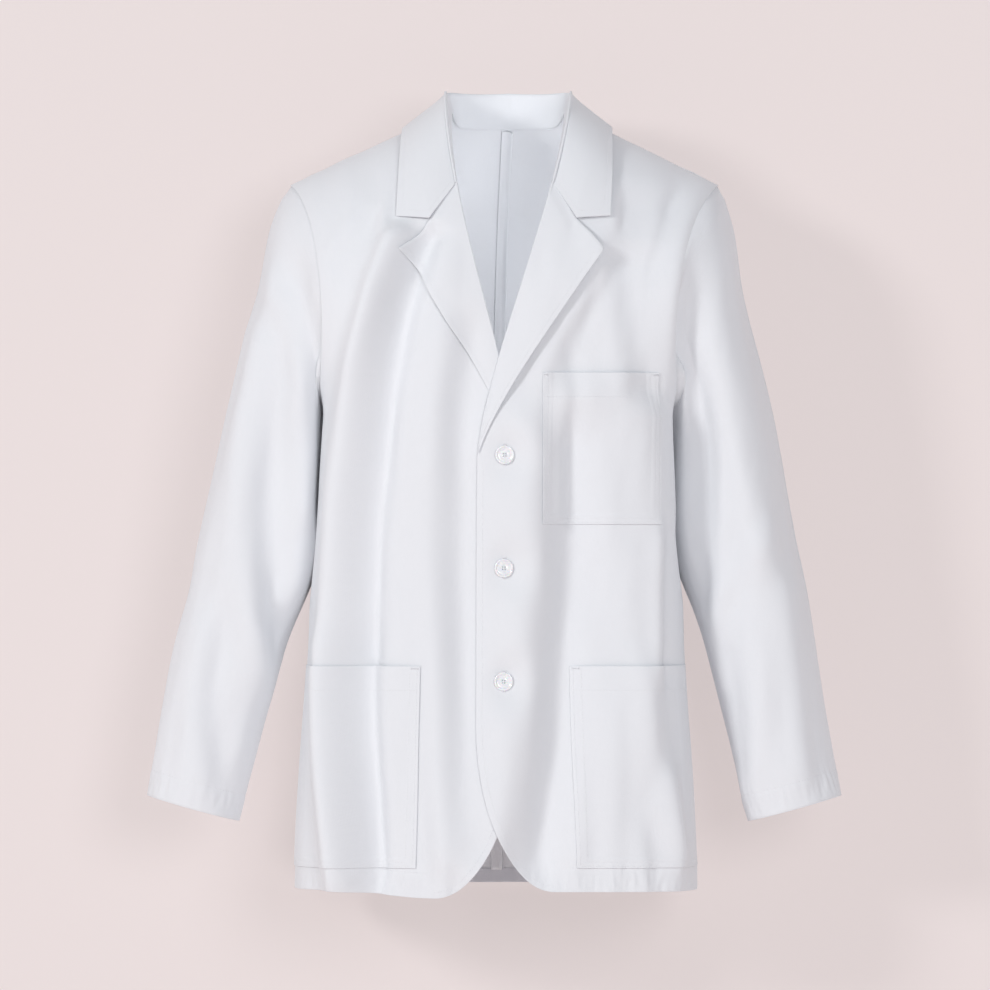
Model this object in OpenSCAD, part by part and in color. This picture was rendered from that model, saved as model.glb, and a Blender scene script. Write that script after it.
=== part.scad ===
// White cotton laboratory coat, worn shape, sleeves hanging.
// Frame: +Z up, hem near z = 0, the front faces -Y, +X is the wearer's left. Millimetres.
// The cloth pieces are closed sheets. Panels, collar and pockets are bounded by pattern
// curves and laid on one body shape, so changing the body or the pattern moves all of them.

/* [Body] */
// half width of the body at the waist
waist_half = 187; // [170:1:205]
// extra half width at the hem
hem_flare = 16; // [6:1:26]
// half depth of the front
front_depth = 120; // [105:1:135]
// half depth of the back
back_depth = 118; // [105:1:135]
// how far the waist comes in, front and back
waist_in = 9; // [0:1:16]
// sideways drift of the neck over the hem
lean = 13; // [0:1:16]

/* [Shoulders and sleeves] */
// fall of the shoulder line, rise over run
shoulder_fall = 0.483; // [0.42:0.01:0.54]
// half width of the cuff
cuff_half = 48; // [42:1:56]
// depth of the turned cuff hem
cuff_hem = 25; // [18:1:35]

/* [Cloth] */
// thickness of one ply
ply = 0.9; // [0.6:0.1:1.0]

/* [Collar and lapels] */
// height of the collar roll over the neck seam
roll_lift = 25; // [20:1:27]
// thickness of the collar
collar_ply = 1.2; // [0.9:0.1:1.4]

/* [Pockets] */
// width of the chest pocket
chest_w = 120; // [100:1:124]
// depth of the chest pocket
chest_h = 151; // [130:1:156]
// slack of the pocket bags
slack = 7; // [6:0.5:10]

/* [Buttons] */
// diameter
button_d = 19; // [16:0.5:21]
// thickness
button_t = 3; // [2.4:0.1:3.4]
// distance between buttons
button_pitch = 113; // [100:1:116]

/* [Hidden] */

white = [0.94, 0.945, 0.96];
inner_white = [0.86, 0.87, 0.9];
pearl = [0.97, 0.97, 0.98];

// "face" is FRONT or BACK, the sign of y; "hand" is LEFT or RIGHT, the sign of x
FRONT = -1;
BACK = 1;
LEFT = 1;
RIGHT = -1;

// ---------- interpolation ----------
function lerp(a, b, t) = a + (b - a) * t;
function smooth(t) = t <= 0 ? 0 : t >= 1 ? 1 : t * t * (3 - 2 * t);
function cubic(c, t) = pow(1 - t, 3) * c[0] + 3 * t * pow(1 - t, 2) * c[1]
    + 3 * t * t * (1 - t) * c[2] + pow(t, 3) * c[3];
function quadratic(c, t) = pow(1 - t, 2) * c[0] + 2 * t * (1 - t) * c[1] + t * t * c[2];

// ---------- body ----------
side_gap = 0.35;     // from y = 0 to the edge of each face
body_power = 2.7;    // exponent of the rounded cross-section
waist_z = 320;
flare_z = 310;       // the hem flare ends here
chest_z = 590;       // from here the body closes towards the shoulder ridge
arm_z = 490;         // foot of the armhole
tip = [215, 709];    // shoulder tip [x, z]
tip_ease = 0.9;      // outward shift of the ridge and the sleeve head
ridge_round = 20;    // rounding of the ridge at x = 0
neck_x = 58;

function centre(z) = lean * pow(max(z, 0) / 807, 4);
function seam_half(z) = waist_half + hem_flare * (1 - smooth(z / flare_z))
    - 7 * smooth((z - flare_z) / 220);
function body_half(z) = seam_half(z) + 38 * smooth((z - 478) / 150);
function body_depth(face, z) = (face == FRONT ? front_depth : back_depth)
    - waist_in * exp(-pow((z - waist_z) / 150, 2)) * (face == FRONT ? 1 : 1.5);
// height of the line where front and back meet over the shoulders
function ridge(x) = tip[1]
    + (tip[0] + tip_ease - sqrt(x * x + ridge_round * ridge_round)) * shoulder_fall;

// pattern point [x from the centre line, z, distance off the body] to a point in space
function place(face, point) =
    let (x = point[0], z = point[1], off = point[2],
         across = min(1, abs(x) / body_half(z)),
         rise = z > chest_z ? min(1, (z - chest_z) / (ridge(x) - chest_z)) : 0,
         closing = sqrt(max(0, 1 - pow(rise, 2.2))),
         bulge = pow(max(0, 1 - pow(across, body_power)), 1 / body_power))
    [x + sign(x) * across * off + centre(z),
     face * ((body_depth(face, z) + off) * bulge * closing + side_gap),
     z + rise * off];
function layer(face, grid, off) =
    [for (row = grid) [for (p = row) place(face, [p[0], p[1], p[2] + off])]];

// ---------- closed sheets ----------
function quad(a, b, step) = [[a, b, b + step], [a, b + step, a + step]];

// solid between two grids of points; wrap joins the last column to the first
module sheet(outer, inner, flip, wrap = false) {
    rows = len(outer);
    wide = len(outer[0]);
    count = rows * wide;
    last = count - wide;
    spans = wrap ? wide : wide - 1;
    skin = [for (i = [0:rows-2]) for (j = [0:spans-1])
        each quad(i * wide + j, i * wide + (j + 1) % wide, wide)];
    lining = [for (t = skin) [t[0] + count, t[2] + count, t[1] + count]];
    row_ends = [for (j = [0:spans-1]) let (k = (j + 1) % wide)
        each concat(quad(k, j, count), quad(last + j, last + k, count))];
    column_ends = wrap ? [] : [for (i = [0:rows-2]) let (a = i * wide, b = a + wide - 1)
        each concat(quad(a, a + wide, count), quad(b + wide, b, count))];
    triangles = concat(skin, lining, row_ends, column_ends);
    polyhedron(points = concat([for (row = outer) each row], [for (row = inner) each row]),
               faces = flip ? triangles : [for (t = triangles) [t[0], t[2], t[1]]],
               convexity = 8);
}

function turned(face, hand) = (face == BACK) == (hand == LEFT);

// a sheet laid on the body: inner side at off; grid columns run outwards for LEFT and RIGHT
module laid(face, hand, grid, off, thick)
    sheet(layer(face, grid, off + thick), layer(face, grid, off), turned(face, hand));

function handed(hand, grid) = [for (row = grid) [for (p = row) [hand * p[0], p[1], p[2]]]];

// rectangle in the pattern plane
function strip(x0, x1, z0, z1, rows, columns) =
    [for (i = [0:rows]) [for (j = [0:columns])
        [lerp(x0, x1, j / columns), lerp(z0, z1, i / rows), 0]]];

// ---------- pattern curves [x, z], for the wearer's left ----------
overlap = 20;        // reach of each front past the centre line
break_z = 440;       // foot of the lapel roll
corner_x = 80;       // rounded lower front corner
corner_z = 178;
notch = [72, 676.5];
collar_point = [105, 679];
lapel_point = [98, 645];
roll_line = [[-overlap, break_z], [-3, 560], [neck_x, 700], [neck_x, ridge(neck_x)]];
lapel_edge = [[-overlap, break_z], [0, 505], lapel_point];
front_armhole = [[seam_half(arm_z), arm_z], [168, 600], [188, 690], tip];
back_armhole = [[seam_half(arm_z), arm_z], [173, 600], [192, 690], tip];
gorge_t = 0.745;     // where collar and lapel meet along the roll line
gorge = cubic(roll_line, gorge_t);

// ---------- panels ----------
// column places across a panel, from the centre edge to the side
panel_columns = [0, 0.09, 0.18, 0.27, 0.4, 0.53, 0.66, 0.78, 0.88, 0.95, 0.985, 1];
low_rows = 10;       // hem to armhole foot
up_rows = 9;         // armhole foot to shoulder
corner_rows = 5;
hem_z = 6;           // back and left front hem
nape_z = 773;
back_gap = 0.3;      // from the centre line to each back panel
lap_lift = 4.1;      // lift of the left front over the right
lap_end = 75;        // the lift has run out at this x

function front_edge(row) = row <= corner_rows
    ? let (turn = 90 * row / corner_rows)
      [corner_x - overlap - corner_x * sin(turn), corner_z * (1 - cos(turn))]
    : [-overlap, lerp(corner_z, break_z, (row - corner_rows) / (low_rows - corner_rows))];
function hem_rise(hand, x) = hand == LEFT ? hem_z : 7.5 * smooth((x - 60) / 120);
// height of a pattern point with the hem rise, which fades out at z = 160
function hemmed_z(hand, p) = p[1] + hem_rise(hand, p[0]) * max(0, 1 - p[1] / 160);

function front_low(hand) = [for (row = [0:low_rows])
    let (inner = front_edge(row), side_z = lerp(0, arm_z, pow(row / low_rows, 1.15)))
    [for (u = panel_columns)
        let (p = lerp(inner, [seam_half(side_z), side_z], u), z = hemmed_z(hand, p))
        [min(p[0], seam_half(z)), z, 0]]];
// the last row follows the shoulder ridge
function front_up() = [for (row = [1:up_rows]) let (t = sin(90 * row / up_rows))
    [for (u = panel_columns)
        let (p = lerp(cubic(roll_line, t), cubic(front_armhole, t), u),
             top = ridge(lerp(neck_x, tip[0], u)) - lerp(ridge(neck_x), tip[1], u))
        [p[0], p[1] + pow(t, 3) * top, 0]]];

function back_top(x) = x < neck_x
    ? nape_z + (ridge(neck_x) - nape_z) * pow(x / neck_x, 6)
    : ridge(x);
function back_grid() = [for (row = [0:low_rows+up_rows])
    let (low = row <= low_rows,
         t = low ? 0 : sin(90 * (row - low_rows) / up_rows),
         z = low ? lerp(hem_z, arm_z, row / low_rows) : lerp(arm_z, nape_z, t),
         outer = low ? [seam_half(z), z] : cubic(back_armhole, t))
    [for (u = panel_columns)
        let (p = lerp([back_gap, z], outer, u),
             top = back_top(lerp(back_gap, tip[0], u)) - lerp(nape_z, tip[1], u))
        [p[0], p[1] + pow(t, 3) * top, 0]]];

// the left front is lifted near the centre, so that it clears the right one
function lap(x) = lap_lift * smooth((lap_end - x) / 50);
function worn_front(hand, grid) = hand == RIGHT ? handed(RIGHT, grid)
    : [for (row = grid) [for (p = row) [p[0], p[1], p[2] + lap(p[0])]]];
function panel_grid(face, hand) = face == BACK
    ? handed(hand, back_grid())
    : worn_front(hand, concat(front_low(hand), front_up()));
module panel(face, hand) laid(face, hand, panel_grid(face, hand), 0, ply);

// ---------- seams, hem bands and facings, inside the panels ----------
seam_ply = 0.9;
seam_off = -1.9;
facing_x = 75;       // outer edge of the facing

module centre_back_seam() color(inner_white)
    laid(BACK, LEFT, strip(-5, 5, 21, 768, 24, 2), -2.5, 1.0);

module back_hem_band() color(inner_white)
    laid(BACK, LEFT, [for (z = [hem_z, 12, 19])
        [for (i = [-18:18]) [sin(5 * i) * (seam_half(z) - 5), z, 0]]], -2.7, 0.9);

module front_hem_band(hand) color(inner_white)
    laid(FRONT, hand, [for (i = [0:2]) [for (j = [0:12])
        let (x = 100 + (seam_half(10) - 106) * sin(7.5 * j))
        [hand * x, hem_rise(hand, x) + 1 + 6.5 * i, 0]]], -1.5, 0.9);

// behind the front edge, from the hem to the foot of the roll, set in slightly
function facing_grid(hand) = [for (row = [0:low_rows])
    let (inner = front_edge(row), top_cut = row == low_rows ? 1.2 : 0)
    [for (u = [0, 0.15, 0.3, 0.5, 0.7, 0.85, 1])
        let (p = lerp(inner, [facing_x, inner[1]], u))
        [p[0] + 0.8 * (1 - u), hemmed_z(hand, p) + 0.6 - top_cut, 0]]];
module facing(hand) laid(FRONT, hand, worn_front(hand, facing_grid(hand)), -1.75, 0.85);

// between the last two columns of a panel
function side_strip(face, hand, off) =
    let (grid = layer(face, panel_grid(face, hand), off), last = len(panel_columns) - 1)
    [for (i = [1:low_rows-1]) [for (t = [0.5, 0.9]) lerp(grid[i][last - 1], grid[i][last], t)]];
module side_seam(hand) color(inner_white)
    for (face = [FRONT, BACK])
        sheet(side_strip(face, hand, seam_off + seam_ply), side_strip(face, hand, seam_off),
              turned(face, hand));

// between the last two rows of a back panel
function shoulder_strip(hand, off) =
    let (grid = layer(BACK, panel_grid(BACK, hand), off), last = len(grid) - 1)
    [for (t = [0.1, 0.8]) [for (j = [4:10]) lerp(grid[last - 1][j], grid[last][j], t)]];
module shoulder_seam(hand) color(inner_white)
    sheet(shoulder_strip(hand, seam_off + seam_ply), shoulder_strip(hand, seam_off),
          turned(BACK, hand));

// ---------- lapels ----------
lapel_share = 0.53;  // part of the lapel width from the gorge to the notch
lapel_rows = 9;
lapel_columns = [for (j = [0:8])
    j < 5 ? lapel_share * j / 5 : lapel_share + (1 - lapel_share) * (j - 5) / 3];

// from the gorge to a point by way of the notch, which lies at w = share
function by_notch(end, share, w) = w < share
    ? lerp(gorge, notch, w / share)
    : lerp(notch, end, (w - share) / (1 - share));
function lapel_top(w) = by_notch(lapel_point, lapel_share, w) - [0, 1.1];
// the right lapel starts higher, clear of the left front
function lapel_grid(hand) =
    let (left = hand == LEFT, roll_start = left ? 0.03 : 0.27, edge_start = left ? 0.03 : 0.5)
    [for (i = [0:lapel_rows])
        let (v = i / lapel_rows,
             roll = cubic(roll_line, lerp(roll_start, gorge_t, v)),
             edge = quadratic(lapel_edge, lerp(edge_start, 1, v)),
             blend = smooth((v - 0.45) / 0.55))
        [for (w = lapel_columns)
            let (p = lerp(roll, edge, w) + blend * (lapel_top(w) - lerp(gorge, lapel_point, w)))
            [p[0] + (left ? 0.6 : -2.2 * (1 - v)), p[1],
             (left ? lap(p[0]) : 0) + 1.6 * sin(180 * w)]]];
module lapel(hand) color(white)
    laid(FRONT, hand, handed(hand, lapel_grid(hand)), 2.0, collar_ply);

// ---------- collar: from one gorge round the neck to the other ----------
collar_x = 103;      // collar edge at the shoulder
collar_share = 0.57; // part of the collar width from the gorge to the notch
collar_columns = [0, 0.06, 0.2, 0.4, collar_share, 0.8, 1];
// stations of one hand: 0 is the nape, 90 the shoulder, 180 the gorge
stations = [0, 20, 40, 58, 74, 84, 89, 91, 96, 104, 116, 130, 146, 163, 180];
// [hand, station] from the right gorge to the left one
neck_stops = let (last = len(stations) - 1)
    [for (i = [-last:last]) [i < 0 ? RIGHT : LEFT, stations[abs(i)]]];

// roll at a station: [face, x, z, lift, x and z of the direction in to the neck]
function roll_at(a) = a <= 90
    ? [BACK, neck_x * sin(a), min(ridge(neck_x * sin(a)), 787 - 2 * sin(2 * a)), roll_lift,
       -sin(a), cos(a) + shoulder_fall * sin(a)]
    : let (t = (a - 90) / 90, p = cubic(roll_line, lerp(1, gorge_t, t)))
      [FRONT, p[0], p[1], 3 + (roll_lift - 3) * pow(1 - t, 1.3), -1, shoulder_fall * (1 - t)];
function edge_at(a) = a <= 90
    ? [collar_x * sin(a),
       min(ridge(collar_x * sin(a)), 748 + (ridge(collar_x) - 748) * pow(sin(a), 4))]
    : lerp([collar_x, ridge(collar_x)], collar_point, (a - 90) / 90);

function fall_row(hand, a, off) =
    let (roll = roll_at(a), edge = edge_at(a), blend = smooth((a - 125) / 55))
    [for (w = collar_columns)
        let (end = by_notch(collar_point, collar_share, w) - lerp(gorge, collar_point, w),
             p = lerp([roll[1], roll[2]], edge, w) + blend * end,
             lift = lerp(roll[3], 2.4, pow(w, 0.8)) + 2.2 * sin(180 * w))
        place(roll[0], [hand * p[0], p[1], lift + off])];
function fall_grid(off) = [for (stop = neck_stops) fall_row(stop[0], stop[1], off)];
module collar_fall(off, thick) sheet(fall_grid(off + thick), fall_grid(off), true);

// from the neck seam up to the roll, moved in towards the neck by inset
function stand_row(hand, a, inset) =
    let (roll = roll_at(a), top = [roll[1], roll[2]], x = neck_x * sin(a),
         foot = a <= 90 ? [x, back_top(x) + 0.9] : top)
    [for (w = [0, 0.33, 0.67, 1])
        let (p = lerp(foot, top, w))
        place(roll[0], [hand * (p[0] + inset * roll[4]), p[1] + inset * roll[5],
                        lerp(0.2, roll[3] + 0.4, w)])];
function stand_grid(inset) = [for (stop = neck_stops) stand_row(stop[0], stop[1], inset)];
module collar_stand() color(white) sheet(stand_grid(1.4), stand_grid(2.6), false);

// ---------- sleeves ----------
// sections from armhole to cuff: [centre x, centre z, half width, half depth, tilt, centre y]
sections = [
    [230.5, 472, 46, 65, 20, 0],
    [237.5, 415, 49.5, 62, 14, -2],
    [246, 345, 57, 57, 13.5, -5],
    [259.5, 289, 57, 54, 13.5, -8],
    [281.5, 179, 51.5, 47, 14.5, -13],
    [301, 87, cuff_half, 42, 15.5, -17]];
// row places: 0 is the armhole, 1 the first section, 6 the last
sleeve_rows = [0, 0.08, 0.25, 0.5, 0.75, 1, 1.5, 2, 2.5, 3, 3.5, 4, 4.5, 5, 5.75, 6];
cuff_v = len(sections);
cuff_span = sections[4][1] - sections[5][1];
cuff_rows = [cuff_v - cuff_hem / cuff_span, cuff_v - cuff_hem / (2 * cuff_span), 5.985];
sleeve_n = 30;       // points round a sleeve

function arm_point(hand, a, off) =
    let (t = (1 + cos(a)) / 2, face = sin(a) >= 0 ? FRONT : BACK,
         p = cubic(face == FRONT ? front_armhole : back_armhole, t), x = p[0] + tip_ease)
    place(face, [hand * (x + 2 * (1 - t)), min(p[1], ridge(x)), off]);
// the lower right sleeve hangs further out
function sway(hand, z) = hand == RIGHT ? 5 * smooth((310 - z) / 150) : 0;
function oval(hand, i, a, off) =
    let (s = sections[i], z = s[1], across = (s[2] + off) * cos(a))
    [hand * (s[0] + sway(hand, z) + across * cos(s[4])) + centre(z),
     s[5] - (s[3] + off) * sin(a),
     z + across * sin(s[4])];
function sleeve_point(hand, v, a, off) = v <= 1
    ? lerp(arm_point(hand, a, off), oval(hand, 0, a, off), v)
    : let (i = min(len(sections) - 2, floor(v - 1)))
      lerp(oval(hand, i, a, off), oval(hand, i + 1, a, off), v - 1 - i);
function sleeve_grid(hand, rows, off) = [for (v = rows)
    [for (j = [0:sleeve_n-1]) sleeve_point(hand, v, 360 * (j + 0.5) / sleeve_n, off)]];
module tube(hand, rows, off, thick)
    sheet(sleeve_grid(hand, rows, off + thick), sleeve_grid(hand, rows, off),
          turned(FRONT, hand), true);
module sleeve(hand) color(white) tube(hand, sleeve_rows, 0, ply);
module cuff_band(hand) color(inner_white) tube(hand, cuff_rows, -1.4, 0.9);

// ---------- pockets ----------
chest_x = 43;        // inner lower corner of the chest pocket
chest_z0 = 373;
low_z0 = 30;         // bottom and mouth of the lower pockets
low_z1 = 231;
pocket_off = 2.4;
pocket_hem_off = pocket_off - 1.15;
pocket_hem_ply = 0.7;
hem_top = 0.995;     // upper end of the mouth hems, as a part of the pocket depth

// part of a pocket from height lo to hi, without its outermost "inset" columns
function chest_grid(lo, hi, inset) = [for (i = [0:8]) let (v = lerp(lo, hi, i / 8))
    [for (j = [inset:8-inset])
        let (u = j / 8, x = chest_x + chest_w * u,
             fullness = pow(sin(min(90, 20 + 100 * v) - 20 * (1 - v)), 0.8) * smooth(v * 5))
        [x, chest_z0 + chest_h * v, lap(x) + slack * pow(sin(180 * u), 0.7) * fullness]]];
function lower_grid(hand, lo, hi, inset) = [for (i = [0:8])
    let (v = lerp(lo, hi, i / 8), z = lerp(low_z0, low_z1, v),
         inner = hand == LEFT ? lerp(81, 78, v) : lerp(80, 74, v))
    [for (j = [inset:10-inset])
        let (u = j / 10, fullness = smooth(v * 5) * (0.6 + 0.4 * v))
        [hand * lerp(inner, seam_half(z) - 0.5, sin(90 * u)), z,
         slack * pow(sin(180 * u), 0.8) * fullness]]];

module chest_pocket() color(white) laid(FRONT, LEFT, chest_grid(0, 1, 0), pocket_off, ply);
module chest_pocket_hem() color(inner_white)
    laid(FRONT, LEFT, chest_grid(0.83, hem_top, 1), pocket_hem_off, pocket_hem_ply);
module lower_pocket(hand) color(white)
    laid(FRONT, hand, lower_grid(hand, 0, 1, 0), pocket_off, ply);
module lower_pocket_hem(hand) color(inner_white)
    laid(FRONT, hand, lower_grid(hand, 0.87, hem_top, 1), pocket_hem_off, pocket_hem_ply);

tack_drop = 6;       // tack centres below the pocket mouth
tacks = [            // [x, z]
    [chest_x + 3, chest_z0 + chest_h - tack_drop],
    [chest_x + chest_w - 3, chest_z0 + chest_h - tack_drop],
    [82, low_z1 - tack_drop],
    [-78, low_z1 - tack_drop]];
module pocket_bartacks() color(white)
    for (p = tacks)
        laid(FRONT, LEFT, strip(p[0] - 1, p[0] + 1, p[1] - 4, p[1] + 4, 3, 1),
             pocket_off + 2.1 + lap(abs(p[0])), 0.5);

// ---------- buttons, numbered from the top ----------
button_x = 7;
button_z = 442;      // top button
hole_l = 20.6;       // buttonhole slit
hole_w = 2.4;
stitch_w = 1.6;      // stitching past the ends of a slit
shank_r = 0.9;
eyes = [-1.6, 1.6];  // x and y of the four thread holes

function height_of(i) = button_z - i * button_pitch;
module at_button(i) {
    z = height_of(i);
    y = -(body_depth(FRONT, z) + ply + lap_lift + side_gap + 1.4);
    translate([button_x + centre(z), y, z]) rotate([90, 0, 0]) children();
}

module slits()
    for (i = [0:2])
        translate([button_x + centre(height_of(i)), -front_depth, height_of(i)])
            cube([hole_w, 60, hole_l], center = true);

module button(i) color(pearl) at_button(i) difference() {
    r = button_d / 2;
    t = button_t;
    // half section [radius, height], with a raised rim
    rotate_extrude($fn = 48) polygon([
        [0, 0.4], [r - 2.6, 0.4], [r - 1.2, 0], [r - 0.2, 0.9], [r, t / 2],
        [r - 0.5, t - 0.4], [r - 1.3, t], [r - 2.2, t - 0.5], [r - 3.2, t - 1.1], [0, t - 1.1]]);
    for (x = eyes) for (y = eyes)
        translate([x, y, -1]) cylinder(r = 0.8, h = t + 2, $fn = 16);
}

// crossed threads, four strands through the eyes and the shank behind
module thread(i) color(white) at_button(i) {
    for (a = [45, -45])
        rotate([0, 0, a]) translate([0, 0, button_t - 0.65 + (a > 0 ? 0.45 : 0)])
            cube([5.4, 0.8, 0.4], center = true);
    for (x = eyes) for (y = eyes)
        translate([x, y, 0.1]) cylinder(r = 0.35, h = button_t - 1.0, $fn = 10);
    translate([0, 0, -5.3]) cylinder(r = shank_r, h = 5.6, $fn = 20);
}

module buttonhole_stitching() color(white)
    for (i = [0:2]) let (z = height_of(i), reach = hole_l / 2 + stitch_w) difference() {
        laid(FRONT, LEFT, strip(button_x - 2.6, button_x + 2.6, z - reach, z + reach, 3, 2),
             lap_lift + ply + 0.4, 0.3);
        slits();
    }

// ---------- nodes ----------
module back_left_panel() color(white) panel(BACK, LEFT);
module back_right_panel() color(white) panel(BACK, RIGHT);
module front_left_panel() color(white) difference() {
    panel(FRONT, LEFT);
    slits();
}
module front_right_panel() color(white) panel(FRONT, RIGHT);
module front_left_facing() color(inner_white) difference() {
    facing(LEFT);
    slits();
}
module front_right_facing() color(inner_white) facing(RIGHT);
module front_left_hem_band() front_hem_band(LEFT);
module front_right_hem_band() front_hem_band(RIGHT);
module left_side_seam() side_seam(LEFT);
module right_side_seam() side_seam(RIGHT);
module left_shoulder_seam() shoulder_seam(LEFT);
module right_shoulder_seam() shoulder_seam(RIGHT);
module left_lapel() lapel(LEFT);
module right_lapel() lapel(RIGHT);
module upper_collar() color(white) collar_fall(1.2, collar_ply);
module under_collar() color(inner_white) collar_fall(0, 0.9);
module left_sleeve() sleeve(LEFT);
module right_sleeve() sleeve(RIGHT);
module left_cuff_hem() cuff_band(LEFT);
module right_cuff_hem() cuff_band(RIGHT);
module left_lower_pocket() lower_pocket(LEFT);
module right_lower_pocket() lower_pocket(RIGHT);
module left_lower_pocket_hem() lower_pocket_hem(LEFT);
module right_lower_pocket_hem() lower_pocket_hem(RIGHT);
module button_top() button(0);
module button_middle() button(1);
module button_bottom() button(2);
module thread_top() thread(0);
module thread_middle() thread(1);
module thread_bottom() thread(2);

back_left_panel();
back_right_panel();
centre_back_seam();
back_hem_band();
front_left_panel();
front_right_panel();
front_left_facing();
front_right_facing();
front_left_hem_band();
front_right_hem_band();
left_side_seam();
right_side_seam();
left_shoulder_seam();
right_shoulder_seam();
left_lapel();
right_lapel();
upper_collar();
under_collar();
collar_stand();
left_sleeve();
right_sleeve();
left_cuff_hem();
right_cuff_hem();
chest_pocket();
chest_pocket_hem();
left_lower_pocket();
left_lower_pocket_hem();
right_lower_pocket();
right_lower_pocket_hem();
pocket_bartacks();
button_top();
button_middle();
button_bottom();
thread_top();
thread_middle();
thread_bottom();
buttonhole_stitching();
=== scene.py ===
"""White twill coat: lapels, turned-down collar, long sleeves, a chest pocket, two lower pockets
and three buttons.

+Z is up with the hem near z = 0. The front faces -Y and the wearer's left is +X.
Cloth is laid out in millimetres and turned into metres when a mesh is made. Pattern x is
measured from the centre line, which drifts slightly to +X towards the collar."""
import math
from functools import partial

import bpy
import numpy as np
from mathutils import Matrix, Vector


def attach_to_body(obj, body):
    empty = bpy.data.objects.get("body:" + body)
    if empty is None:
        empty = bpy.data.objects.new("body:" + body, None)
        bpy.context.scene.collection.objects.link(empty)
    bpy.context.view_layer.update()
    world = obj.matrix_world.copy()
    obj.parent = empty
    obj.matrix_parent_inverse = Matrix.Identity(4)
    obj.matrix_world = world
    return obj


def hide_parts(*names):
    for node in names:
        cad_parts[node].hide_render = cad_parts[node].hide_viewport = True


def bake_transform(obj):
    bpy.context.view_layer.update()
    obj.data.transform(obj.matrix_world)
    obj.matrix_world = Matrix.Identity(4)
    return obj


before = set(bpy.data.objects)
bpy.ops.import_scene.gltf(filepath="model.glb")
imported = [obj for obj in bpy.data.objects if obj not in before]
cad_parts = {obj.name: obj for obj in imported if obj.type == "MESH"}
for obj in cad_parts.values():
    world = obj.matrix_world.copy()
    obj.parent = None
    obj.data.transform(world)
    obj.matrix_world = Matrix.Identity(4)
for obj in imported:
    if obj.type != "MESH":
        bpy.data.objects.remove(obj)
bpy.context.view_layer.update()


rng = np.random.default_rng(7)

LEFT, RIGHT = 1, -1        # the wearer's sides, as the sign of x
FRONT, BACK = -1, 1        # faces of the coat, as the sign of y
SIDE = {LEFT: "left", RIGHT: "right"}
PLY = 0.62                 # thickness of one ply of cloth
OUTER = 0.9                # lift of the outer face of the panels off the body


# ---------------------------------------------------------------- curves and blends
def ease(t):
    t = np.clip(t, 0.0, 1.0)
    return t * t * (3 - 2 * t)


def lerp(a, b, t):
    return a + (b - a) * t


def bell(distance, width):
    return np.exp(-(distance / width) ** 2)


def cubic(points, t):
    p = np.asarray(points, float)
    t = np.asarray(t, float)[..., None]
    return (1-t)**3*p[0] + 3*t*(1-t)**2*p[1] + 3*t*t*(1-t)*p[2] + t**3*p[3]


def quadratic(points, t):
    p = np.asarray(points, float)
    t = np.asarray(t, float)[..., None]
    return (1-t)**2*p[0] + 2*t*(1-t)*p[1] + t*t*p[2]


def unit(vectors):
    length = np.linalg.norm(vectors, axis=-1, keepdims=True)
    return vectors / np.maximum(length, 1e-9)


def grid(rows, columns):
    return np.meshgrid(rows, columns, indexing="ij")


def quarter_sine(count):
    """0..1 with steps that shorten towards 1."""
    return np.sin(np.linspace(0, 1, count) * math.pi / 2)


def path_length(points):
    steps = np.linalg.norm(np.diff(points, axis=0), axis=1)
    return np.concatenate([[0], np.cumsum(steps)])


def normals(points, wrap=False):
    if wrap:
        across = np.roll(points, -1, 1) - np.roll(points, 1, 1)
    else:
        across = np.gradient(points, axis=1)
    return unit(np.cross(np.gradient(points, axis=0), across))


def smooth_rows(points, sigma, passes=1):
    """Gaussian smoothing along axis 0, ends held."""
    reach = int(3 * sigma)
    kernel = np.exp(-0.5 * (np.arange(-reach, reach + 1) / sigma) ** 2)
    kernel /= kernel.sum()
    for _ in range(passes):
        before = 2 * points[:1] - points[reach:0:-1]
        after = 2 * points[-1:] - points[-2:-reach - 2:-1]
        padded = np.concatenate([before, points, after], 0)
        out = sum(kernel[j] * padded[j:j + len(points)] for j in range(2 * reach + 1))
        out[0], out[-1] = points[0], points[-1]
        points = out
    return points


def smooth_around(points):
    """Gaussian smoothing round closed rings (axis 1)."""
    kernel = np.exp(-0.5 * (np.arange(-9, 10) / 3.5) ** 2)
    kernel /= kernel.sum()
    return sum(kernel[j + 9] * np.roll(points, j, 1) for j in range(-9, 10))


# ---------------------------------------------------------------- body surface
NECK_X = 58.0              # half width of the neck
NAPE_Z = 773.0             # top of the back at the centre
ARM_Z = 490.0              # bottom of the armhole
SHOULDER_X, SHOULDER_Z = 215.0, 714.0
ROUNDING_Z = 590           # above this the body closes towards the shoulder ridge


def centre(z):
    return 13.0 * (np.clip(z, 0, None) / 807.0) ** 4


def seam_half(z):
    """Half width of the coat at the side seam."""
    return 187 + 16 * (1 - ease(z / 310.0)) - 7 * ease((z - 310) / 220.0)


def body_half(z):
    return seam_half(z) + 38 * ease((z - 478) / 150.0)


def body_depth(face, z):
    waist = bell(z - 320, 150.0)
    return np.where(np.asarray(face) < 0, 120 - 9 * waist, 118 - 13.5 * waist)


def ridge(x):
    """Height of the shoulder ridge."""
    return SHOULDER_Z + (215.9 - np.sqrt(x * x + 400)) * 0.483


NECK_Z = float(ridge(NECK_X))


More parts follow.
